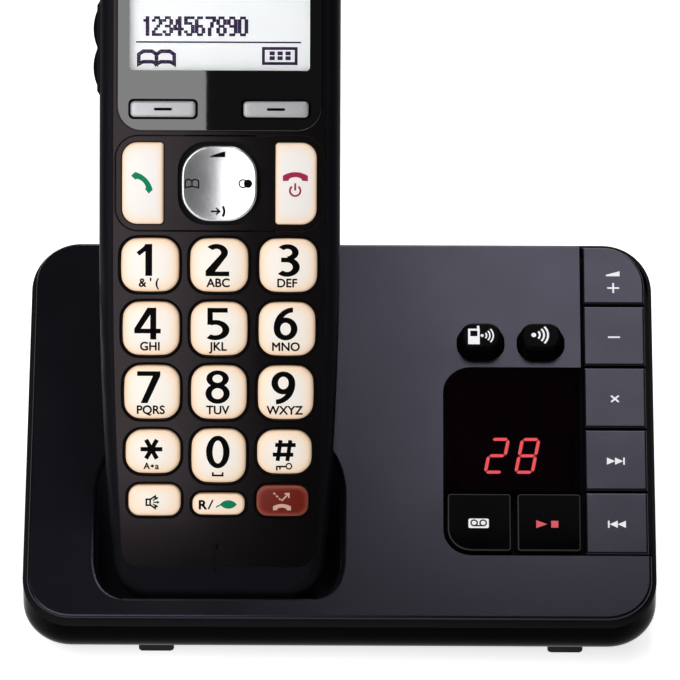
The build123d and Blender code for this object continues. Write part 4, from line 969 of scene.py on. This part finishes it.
class PHONE_OT_make_function_keys(bpy.types.Operator):
    """Make the talk, off, speakerphone, recall, call-block and soft keys with their print"""

    bl_idname = "phone.make_function_keys"
    bl_label = "Make the function keys"

    def execute(self, context):
        look = context.scene.phone_keys
        ink_finish("green ink", look.green_ink)
        self.make_call_keys(look)
        self.make_soft_keys(look)
        self.make_speakerphone_key(look)
        self.make_recall_key(look)
        self.make_call_block_key(look)
        return {"FINISHED"}

    def make_call_keys(self, look):
        """The talk key with a receiver, and the off key with a receiver over a power sign."""
        ivory = lit_key_finish("lit ivory", look.ivory, look.peach, look.glow)
        magenta = ink_finish("magenta ink", look.magenta_ink)
        large = 3.3 * MM
        small = 0.7 * MM
        call = {"bow": 0.0, "material": ivory, "slot": "key_cream", "roll": 0.6 * MM, "edge_width": 1.9 * MM}
        face = key_cap("talk_key", (small, large, large, small), **call)
        talk = receiver().moved(0.15, 0.4, -45)
        talk.print_on("talk_print", face, "talk_key", FINISHES["green ink"], "key_cream", look.lift)
        face = key_cap("off_key", (large, small, small, large), **call)
        off = receiver().moved(-0.15, 1.6)
        off.arc(-0.18, -1.5, 1.15, 128, 412, 0.42, 24)
        off.bar(-0.39, -1.45, 0.03, 0.15)
        off.print_on("off_print", face, "off_key", magenta, "key_cream", look.lift)

    def make_soft_keys(self, look):
        """Two flat silver keys with a dash each."""
        silver = finish(
            "silver paint", look.silver, darker(look.silver, 0.88), (0.28, 0.36), 0.0004, 0.000004,
            Metallic=0.26,
        )
        for node in ("soft_key_left", "soft_key_right"):
            face = key_cap(node, (0.9 * MM,) * 4, 0.0, silver, "key_silver", 0.5 * MM, SOFT_FLANGE, None)
            dash = Ink()
            dash.line(((-1.7, 0), (1.7, 0)), 0.6)
            dash.disc(-1.7, 0, 0.3)
            dash.disc(1.7, 0, 0.3)
            dash.print_on(node + "_print", face, node, FINISHES["black ink"], "key_dark", look.lift)

    def make_speakerphone_key(self, look):
        """A key with a loudspeaker and three arrows."""
        cream = FINISHES["lit cream"]
        face = self.small_key(look, "speakerphone_key", SMALL_CORNER, 0.7 * MM, cream, "key_cream")
        ink = Ink()
        ink.line(((-1.6, -0.65), (-0.75, -0.65), (-0.75, 0.65), (-1.6, 0.65)), 0.36, closed=True)
        for side in (-1, 1):
            ink.line(((-0.75, side * 0.6), (0.35, side * 1.35), (0.35, side * 0.75)), 0.36)
        hub = Vector((-0.75, 0))
        for turn in (-32, 0, 32):
            along = Vector((math.cos(math.radians(turn)), math.sin(math.radians(turn))))
            across = Vector((-along.y, along.x))
            ink.line((hub + along * 0.7, hub + along * 1.7), 0.26)
            head = hub + along * 1.5
            ink.fill((head - across * 0.34, head + along * 0.62, head + across * 0.34))
        ink.moved(-0.15, -0.37)
        ink.print_on(
            "speakerphone_print", face, "speakerphone_key", FINISHES["black ink"], "key_dark", look.lift
        )

    def make_recall_key(self, look):
        """A key with a letter, a stroke and a leaf."""
        cream = FINISHES["lit cream"]
        face = self.small_key(look, "recall_key", RECALL_CORNER, 0.6 * MM, cream, "key_cream")
        recall = Ink()
        recall.word("R", 1.9, -3.4, -0.1, bold=0.2, narrow=1.12)
        recall.line(((-2.2, -1.05), (-1.2, 1.0)), 0.34)
        recall.print_on("recall_print", face, "recall_key", FINISHES["black ink"], "key_dark", look.lift)
        leaf = Ink()
        tip = math.degrees(math.asin(LEAF_LENGTH / 2 / LEAF_RADIUS))
        rise = LEAF_RADIUS * math.cos(math.radians(tip))
        lower = arc_points(2.2, rise, LEAF_RADIUS, 270 - tip, 270 + tip, 10)
        upper = arc_points(2.2, -rise, LEAF_RADIUS, 90 - tip, 90 + tip, 10)
        leaf.fill(lower + upper[1:-1])
        leaf.line(((-0.5, -0.6), (0.5, -0.05)), 0.3)
        leaf.print_on("recall_leaf", face, "recall_key", FINISHES["green ink"], "key_cream", look.lift)

    def make_call_block_key(self, look):
        """A red key with a receiver and a dashed arrow that turns away from it."""
        # The call-block key's paler rim is a painted highlight.
        red = lit_key_finish("satin red", look.red, look.red_rim, look.glow / 4)
        red.node_tree.nodes["Principled BSDF"].inputs["Specular IOR Level"].default_value = 0.15
        pale = ink_finish("pale ink", look.pale_ink)
        face = self.small_key(look, "call_block_key", SMALL_CORNER, 0.7 * MM, red, "key_red", 1.1 * MM)
        ink = receiver().moved(-0.1, -1.35, 0, 0.72)
        ink.line(((-0.2, 0.05), (1.25, 1.5)), 0.34)
        ink.line(((0.45, 1.6), (1.4, 1.65), (1.4, 0.7)), 0.36)
        for step in range(3):
            start = -1.95 + step * 0.6
            ink.line(((start, -start - 0.15), (start + 0.36, -start - 0.51)), 0.34)
        ink.print_on("call_block_print", face, "call_block_key", pale, "key_red", look.lift)

    def small_key(self, look, node, corner, roll, material, slot, edge_width=EDGE_WIDTH):
        """A key of the lowest row with the painted shade round its opening."""
        face = key_cap(node, (corner,) * 4, SMALL_BOW, material, slot, roll, edge_width=edge_width)
        paint_gap_shade(node, face, corner, SMALL_BOW, look.lift)
        return face


class PHONE_OT_make_nav_key(bpy.types.Operator):
    """Make the dished navigation key with its four marks"""

    bl_idname = "phone.make_nav_key"
    bl_label = "Make the navigation key"

    def execute(self, context):
        look = context.scene.phone_keys
        silver = finish(
            "brushed silver", look.brushed, darker(look.brushed, 0.88), (0.21, 0.27), 0.0004, 0.000004,
            Metallic=0.85,
        )
        corners = (NAV_CORNER,) * 4
        face = key_cap("nav_key", corners, NAV_BOW, silver, "key_silver", 0.5 * MM, 0.0, -NAV_DISH)
        ink = Ink()
        ink.fill(((-1.9, 5.8), (1.3, 5.8), (1.3, 7.1), (-1.9, 6.1)))
        book(ink, -6.0, 0, 2.9, 1.9, 0.28)
        ink.ring(5.2, 0, 0.85, 0.3)
        ink.disc(6.3, 0, 0.93)
        ink.line(((-1.8, -6.1), (0.0, -6.1)), 0.36)
        ink.line(((-0.7, -5.4), (0.1, -6.1), (-0.7, -6.8)), 0.36)
        ink.arc(-0.9, -6.1, 2.0, -34, 34, 0.5)
        ink.print_on("nav_print", face, "nav_key", FINISHES["black ink"], "key_dark", look.lift)
        return {"FINISHED"}


class PHONE_OT_make_display(bpy.types.Operator):
    """Light the display and draw its dots"""

    bl_idname = "phone.make_display"
    bl_label = "Make the display"

    # Dots of each digit, row by row from its top.
    DIGITS = {
        "0": ("0110", "1001", "1001", "1001", "1001", "1001", "0110"),
        "1": ("0010", "0110", "0010", "0010", "0010", "0010", "0010"),
        "2": ("0110", "1001", "0001", "0010", "0100", "1000", "1111"),
        "3": ("0110", "1001", "0001", "0110", "0001", "1001", "0110"),
        "4": ("0010", "0110", "0110", "1010", "1111", "0010", "0010"),
        "5": ("1111", "1000", "1110", "0001", "0001", "1001", "0110"),
        "6": ("0110", "1000", "1000", "1110", "1001", "1001", "0110"),
        "7": ("1111", "0001", "0010", "0010", "0100", "0100", "0100"),
        "8": ("0110", "1001", "1001", "0110", "1001", "1001", "0110"),
        "9": ("0110", "1001", "1001", "0111", "0001", "0001", "0110"),
    }

    def execute(self, context):
        look = context.scene.phone_screen
        lit = finish(
            "lit screen", look.lit, darker(look.lit, 0.97), (0.4, 0.5), 0.001, 0.000001, emission=look.lit,
            Emission_Strength=look.screen_glow,
        )
        dots = ink_finish("display dots", look.dot)
        paint(lit, "lcd_module")
        face = Face("lcd_window", HANDSET)
        face.top = span("lcd_module", HANDSET)[1].z
        left = -face.half_width / MM
        bottom = -face.half_height / MM
        top = -bottom
        ink = Ink()
        pitch = look.dot_pitch / MM
        width = look.dot_width / MM
        height = look.dot_height / MM
        for place, digit in enumerate("1234567890"):
            for row, line in enumerate(reversed(self.DIGITS[digit])):
                for column, dot in enumerate(line):
                    if dot == "1":
                        x = left + 2.4 + place * 2.36 + column * pitch
                        y = bottom + 7.45 + row * height
                        ink.bar(x, y, x + width, y + height)
        ink.bar(left + 1.3, bottom + 5.95, -left - 1.9, bottom + 6.3)
        self.book_mark(ink, left + 1.6, bottom + 1.3, width)
        self.keypad_mark(ink, left + 29.3, bottom + 1.5)
        self.battery_mark(ink, -left - 8.0, top - 4.0)
        self.signal_mark(ink, left + 2.0, top - 4.0)
        ink.print_on("display_dots", face, "handset", dots, "key_dark", context.scene.phone_keys.lift)
        return {"FINISHED"}

    def book_mark(self, ink, x, y, line):
        """An open book with two rounded pages."""
        for side in (0, 1):
            page = [(0, 0), (0, 2.1), (1.0, 2.8), (2.9, 2.8), (3.9, 2.1), (3.9, 0), (3.0, 0.5), (1.0, 0.5)]
            ink.line([(x + 0.3 + side * 3.9 + px, y + py) for px, py in page], line, closed=True)

    def keypad_mark(self, ink, x, y):
        """A frame round three by two squares."""
        frame_points = ((0, 0), (7.2, 0), (7.2, 3.3), (0, 3.3))
        ink.line([(x + px, y + py) for px, py in frame_points], 0.65, closed=True)
        for column in range(3):
            for row in range(2):
                low_x = x + 1.35 + column * 1.75
                low_y = y + 0.75 + row * 1.05
                ink.bar(low_x, low_y, low_x + 1.15, low_y + 0.85)

    def battery_mark(self, ink, x, y):
        """A full battery."""
        ink.line(((x, y), (x + 5.4, y), (x + 5.4, y + 2.4), (x, y + 2.4)), 0.4, closed=True)
        ink.bar(x + 5.7, y + 0.7, x + 6.3, y + 1.7)
        for bar in range(3):
            ink.bar(x + 0.6 + bar * 1.5, y + 0.6, x + 1.7 + bar * 1.5, y + 1.8)

    def signal_mark(self, ink, x, y):
        """Four rising bars."""
        for bar in range(4):
            ink.bar(x + bar * 1.1, y, x + 0.75 + bar * 1.1, y + 0.8 + bar * 0.55)


class PHONE_OT_make_counter(bpy.types.Operator):
    """Light the counter's two digits behind its smoked window"""

    bl_idname = "phone.make_counter"
    bl_label = "Make the counter"

    # Lit bars of each digit: a, g and d lie level, from the top down, and the others stand upright.
    SEGMENTS = {"2": "abged", "8": "abcdefg"}

    def execute(self, context):
        look = context.scene.phone_screen
        dark = finish(
            "counter body", (0.006, 0.005, 0.005), (0.004, 0.004, 0.004), (0.5, 0.6), 0.001, 0.000004
        )
        lit = finish(
            "lit segment", look.segment, look.segment, (0.4, 0.5), 0.001, 0.000001, emission=look.segment,
            Emission_Strength=look.segment_glow,
        )
        paint(dark, "led_counter")
        face = Face("led_counter", BASE)
        ink = Ink()
        for digit, x in (("2", -3.45), ("8", 3.35)):
            self.digit(ink, digit, x, 0.0, look)
        ink.print_on("counter_digits", face, "base", lit, "counter_red", context.scene.phone_keys.lift)
        return {"FINISHED"}

    def digit(self, ink, digit, x, y, look):
        """Seven slim bars with pointed ends, leaning to the right."""
        half_width = look.count_width / MM / 2
        half_height = look.count_height / MM / 2
        thick = 0.74
        half = thick / 2
        gap = 0.16
        lean = math.tan(look.count_slant)
        across = {"a": half_height - half, "g": 0.0, "d": half - half_height}
        upright = {"f": (-1, 1), "b": (1, 1), "e": (-1, -1), "c": (1, -1)}
        for name in self.SEGMENTS[digit]:
            if name in across:
                level = across[name]
                low = -half_width + half + gap
                points = [(low, level), (low + half, level + half), (-low - half, level + half)]
                points += [(-low, level), (-low - half, level - half), (low + half, level - half)]
            else:
                side, part = upright[name]
                level = side * (half_width - half)
                near = part * gap
                far = part * (half_height - half - gap)
                near_end = near + part * half
                far_end = far - part * half
                points = [(level, near), (level + half, near_end), (level + half, far_end)]
                points += [(level, far), (level - half, far_end), (level - half, near_end)]
            ink.fill([(x + px + lean * py, y + py) for px, py in points])


class PHONE_OT_mark_base_keys(bpy.types.Operator):
    """Finish the base's keys and print their marks"""

    bl_idname = "phone.mark_base_keys"
    bl_label = "Mark the base's keys"

    def execute(self, context):
        look = context.scene.phone_keys
        self.finish_keys(context.scene.phone_case)
        # The base's white and red print glow as painted light.
        ink_finish("white ink", look.white_ink, look.white_painted_glow)
        ink_finish("red ink", look.red_ink, look.red_painted_glow)
        self.mark_column(look)
        self.mark_tiles(look)
        self.mark_ovals(look)
        return {"FINISHED"}

    def finish_keys(self, case):
        """Satin keys in the column, polished tiles under the counter and dull ovals."""
        satin = finish(
            "satin key", case.matte, darker(case.matte, 0.7), (0.23, 0.27), case.grain, 0.000015,
            Specular_IOR_Level=0.42, Specular_Tint=(*case.sheen, 1),
        )
        oval = finish(
            "oval key", case.plate, darker(case.plate, 0.7), (0.30, 0.36), case.grain, 0.00001,
            Specular_IOR_Level=0.02,
        )
        tile = finish(
            "polished tile", case.gloss, darker(case.gloss, 0.8), (0.05, 0.09), 0.004, 0.000004,
            Specular_IOR_Level=0.008,
        )
        # Painted highlight: only the rolled edge, between the level top and the upright sides, is painted
        # paler.
        rolled = ((0.6, 0), (0.65, 1), (0.97, 1), (0.985, 0))
        tone_facing(tile, case.edge, BASE @ Vector((0, 0, 1)), rolled)
        column = ("skip_back_key", "skip_forward_key", "erase_key", "volume_down_key", "volume_up_key")
        paint(satin, *column)
        paint(tile, "answer_key", "play_key")
        paint(oval, "locator_key", "intercom_key")

    def mark_column(self, look):
        """A wedge over a plus, a minus, a cross and two skip signs."""
        ink = Ink()
        ink.fill(((-1.6, -0.2), (1.5, -0.2), (1.5, 1.1), (-1.6, 0.15)))
        ink.bar(-1.35, -3.5, 1.35, -3.1)
        ink.bar(-0.2, -4.6, 0.2, -2.0)
        self.mark(look, ink, "volume_up_key")
        ink = Ink()
        ink.bar(-1.35, -0.2, 1.35, 0.2)
        self.mark(look, ink.moved(0, -0.4), "volume_down_key")
        ink = Ink()
        ink.line(((-0.85, -0.8), (0.85, 0.8)), 0.4)
        ink.line(((-0.85, 0.8), (0.85, -0.8)), 0.4)
        self.mark(look, ink.moved(0, -0.35), "erase_key")
        for node, side in (("skip_forward_key", 1), ("skip_back_key", -1)):
            ink = Ink()
            for start in (-2.0, -0.2):
                ink.fill(((side * start, -0.9), (side * (start + 1.8), 0), (side * start, 0.9)))
            ink.bar(side * 1.8 - 0.18, -0.9, side * 1.8 + 0.18, 0.9)
            self.mark(look, ink.moved(0, -0.3), node)

    def mark_tiles(self, look):
        """A tape, black on white, and the signs for play and stop."""
        ink = Ink()
        ink.fill([(x / MM, y / MM) for x, y in soft_outline(2.25 * MM, 1.18 * MM, (0.35 * MM,) * 4)])
        self.mark(look, ink.moved(-0.15, -0.35), "answer_key")
        ink = Ink()
        for side in (-1, 1):
            ink.ring(side * 1.0, 0.1, 0.7, 0.32)
        ink.bar(-1.0, -0.76, 1.0, -0.44)
        self.mark(look, ink.moved(-0.15, -0.35), "answer_key", "black ink", 2)
        ink = Ink()
        ink.fill(((-2.87, -1.0), (-0.44, 0), (-2.87, 1.0)))
        ink.bar(0.44, -0.85, 2.02, 0.85)
        self.mark(look, ink.moved(0, -0.5), "play_key", "red ink")

    def mark_ovals(self, look):
        """A handset with waves, and waves alone."""
        ink = Ink()
        ink.line(((-2.6, -2.0), (-0.5, -2.0), (-0.5, 1.5), (-2.6, 1.5)), 0.5, closed=True)
        ink.bar(-2.4, -1.8, -0.7, -0.2)
        ink.bar(-0.85, 1.5, -0.3, 2.5)
        ink.disc(0.3, 0, 0.36)
        waves(ink, 0.3, 0, (1.0, 1.75, 2.5), 0.34)
        self.mark(look, ink, "locator_key")
        ink = Ink()
        ink.disc(-1.6, 0.2, 0.55)
        waves(ink, -1.6, 0.2, (1.35, 2.3, 3.2), 0.45)
        self.mark(look, ink, "intercom_key")

    def mark(self, look, ink, node, colour="white ink", layer=1):
        """Print a mark on a key, higher up for a second layer."""
        name = node + "_" + colour.split()[0]
        ink.print_on(name, Face(node, BASE), node, FINISHES[colour], "key_dark", layer * look.lift)


class PHONE_OT_make_stage(bpy.types.Operator):
    """Lay the floor, hang the lamps and stand the camera"""

    bl_idname = "phone.make_stage"
    bl_label = "Make the studio"

    def execute(self, context):
        scene = context.scene
        scene.view_settings.view_transform = "Standard"
        self.lay_floor(scene, scene.phone_stage)
        self.fill_world(scene, scene.phone_stage)
        self.hang_lamps(scene, scene.phone_stage)
        self.stand_camera(scene, scene.phone_stage)
        return {"FINISHED"}

    def lay_floor(self, scene, stage):
        """A wide pale floor that the camera, and what mirrors or bends its view, see near white."""
        reach = 4.0
        # A hair below the feet, so that the two faces don't fight.
        level = -0.00005
        corners = [(x * reach, y * reach, level) for x, y in ((-1, -1), (1, -1), (1, 1), (-1, 1))]
        mesh = bpy.data.meshes.new("studio_floor")
        mesh.from_pydata(corners, [], [(0, 1, 2, 3)])
        material = finish("pale floor", stage.floor, darker(stage.floor, 0.99), (0.85, 0.9), 0.02, 0.00001)
        tree = material.node_tree
        rays = tree.nodes.new("ShaderNodeLightPath")
        lifted = rays.outputs["Is Camera Ray"]
        for ray in ("Is Glossy Ray", "Is Transmission Ray"):
            either = math_node(tree, "MAXIMUM")
            tree.links.new(lifted, either.inputs[0])
            tree.links.new(rays.outputs[ray], either.inputs[1])
            lifted = either.outputs["Value"]
        shader = tree.nodes["Principled BSDF"]
        tree.links.new(lifted, shader.inputs["Emission Color"])
        shader.inputs["Emission Strength"].default_value = stage.lift
        mesh.materials.append(material)
        floor = bpy.data.objects.new("studio_floor", mesh)
        scene.collection.objects.link(floor)

    def fill_world(self, scene, stage):
        """Even white light from all round."""
        world = bpy.data.worlds.new("studio")
        world.use_nodes = True
        background = world.node_tree.nodes["Background"]
        background.inputs["Color"].default_value = (1, 1, 1, 1)
        background.inputs["Strength"].default_value = stage.world
        scene.world = world

    def hang_lamps(self, scene, stage):
        """A card that the handset mirrors, a strip over the base and a soft lamp behind."""
        card_size = (0.265, 0.24)
        card_distance = 0.25
        # The card's right edge stands this far left of the display's middle, and the glossy panel
        # shows it as the line between its grey and its black part.
        card_edge = 0.0093
        outwards = HANDSET @ Vector((0, 0, 1))
        pane = Face("lcd_window", HANDSET)
        seen = pane.place(0, -pane.half_height, pane.top)
        card = seen + HANDSET @ Vector((-card_edge - card_size[0] / 2, 0, card_distance))
        self.lamp(scene, "left_card", card, card - outwards, card_size, stage.card_power)
        above = Vector((0.068, 0.152, 0.45))
        # Aimed a hair off straight down, so that the strip's long side keeps its direction.
        below = above - Vector((0, -0.0001, 0.45))
        self.lamp(scene, "top_strip", above, below, (0.128, 0.327), stage.strip_power)
        behind = Vector((0.15, 0.7, 0.55))
        self.lamp(scene, "back_fill", behind, Vector((0, 0, 0.06)), (0.6, 0.4), stage.back_power)

    def stand_camera(self, scene, stage):
        """The camera at the photograph's viewing angle."""
        lens = bpy.data.cameras.new("camera")
        lens.lens = stage.lens
        lens.clip_end = 20
        camera = bpy.data.objects.new("camera", lens)
        camera.location = stage.camera
        direction = Vector(stage.aim) - Vector(stage.camera)
        camera.rotation_euler = direction.to_track_quat("-Z", "Y").to_euler()
        scene.collection.objects.link(camera)
        scene.camera = camera

    def lamp(self, scene, name, place, target, size, power):
        """A soft rectangular lamp that points at a target."""
        light = bpy.data.lights.new(name, "AREA")
        light.shape = "RECTANGLE"
        light.size, light.size_y = size
        light.energy = power
        lamp = bpy.data.objects.new(name, light)
        lamp.location = place
        lamp.rotation_euler = (target - place).to_track_quat("-Z", "Y").to_euler()
        lamp.visible_camera = False
        scene.collection.objects.link(lamp)


STEPS = (
    PHONE_OT_finish_cases,
    PHONE_OT_make_dial_keys,
    PHONE_OT_make_function_keys,
    PHONE_OT_make_nav_key,
    PHONE_OT_make_display,
    PHONE_OT_make_counter,
    PHONE_OT_mark_base_keys,
    PHONE_OT_make_stage,
)


class PHONE_PT_looks(bpy.types.Panel):
    """The steps that dress the phone, in order"""

    bl_idname = "PHONE_PT_looks"
    bl_label = "Phone looks"
    bl_space_type = "VIEW_3D"
    bl_region_type = "UI"
    bl_category = "Phone"

    def draw(self, context):
        for step in STEPS:
            self.layout.operator(step.bl_idname)


LOOKS = (
    ("phone_case", PhoneCaseLook),
    ("phone_keys", PhoneKeyLook),
    ("phone_screen", PhoneScreenLook),
    ("phone_stage", PhoneStage),
)


def register():
    """Make the looks, the steps and the panel known to Blender."""
    for name, group in LOOKS:
        bpy.utils.register_class(group)
        setattr(bpy.types.Scene, name, PointerProperty(type=group))
    for step in STEPS:
        bpy.utils.register_class(step)
    bpy.utils.register_class(PHONE_PT_looks)


def unregister():
    """Take back what register made known."""
    bpy.utils.unregister_class(PHONE_PT_looks)
    for step in reversed(STEPS):
        bpy.utils.unregister_class(step)
    for name, group in reversed(LOOKS):
        delattr(bpy.types.Scene, name)
        bpy.utils.unregister_class(group)


def main():
    """Dress the phone step by step."""
    register()
    bpy.ops.phone.finish_cases()
    bpy.ops.phone.make_dial_keys()
    bpy.ops.phone.make_function_keys()
    bpy.ops.phone.make_nav_key()
    bpy.ops.phone.make_display()
    bpy.ops.phone.make_counter()
    bpy.ops.phone.mark_base_keys()
    bpy.ops.phone.make_stage()


if __name__ == "__main__":
    main()
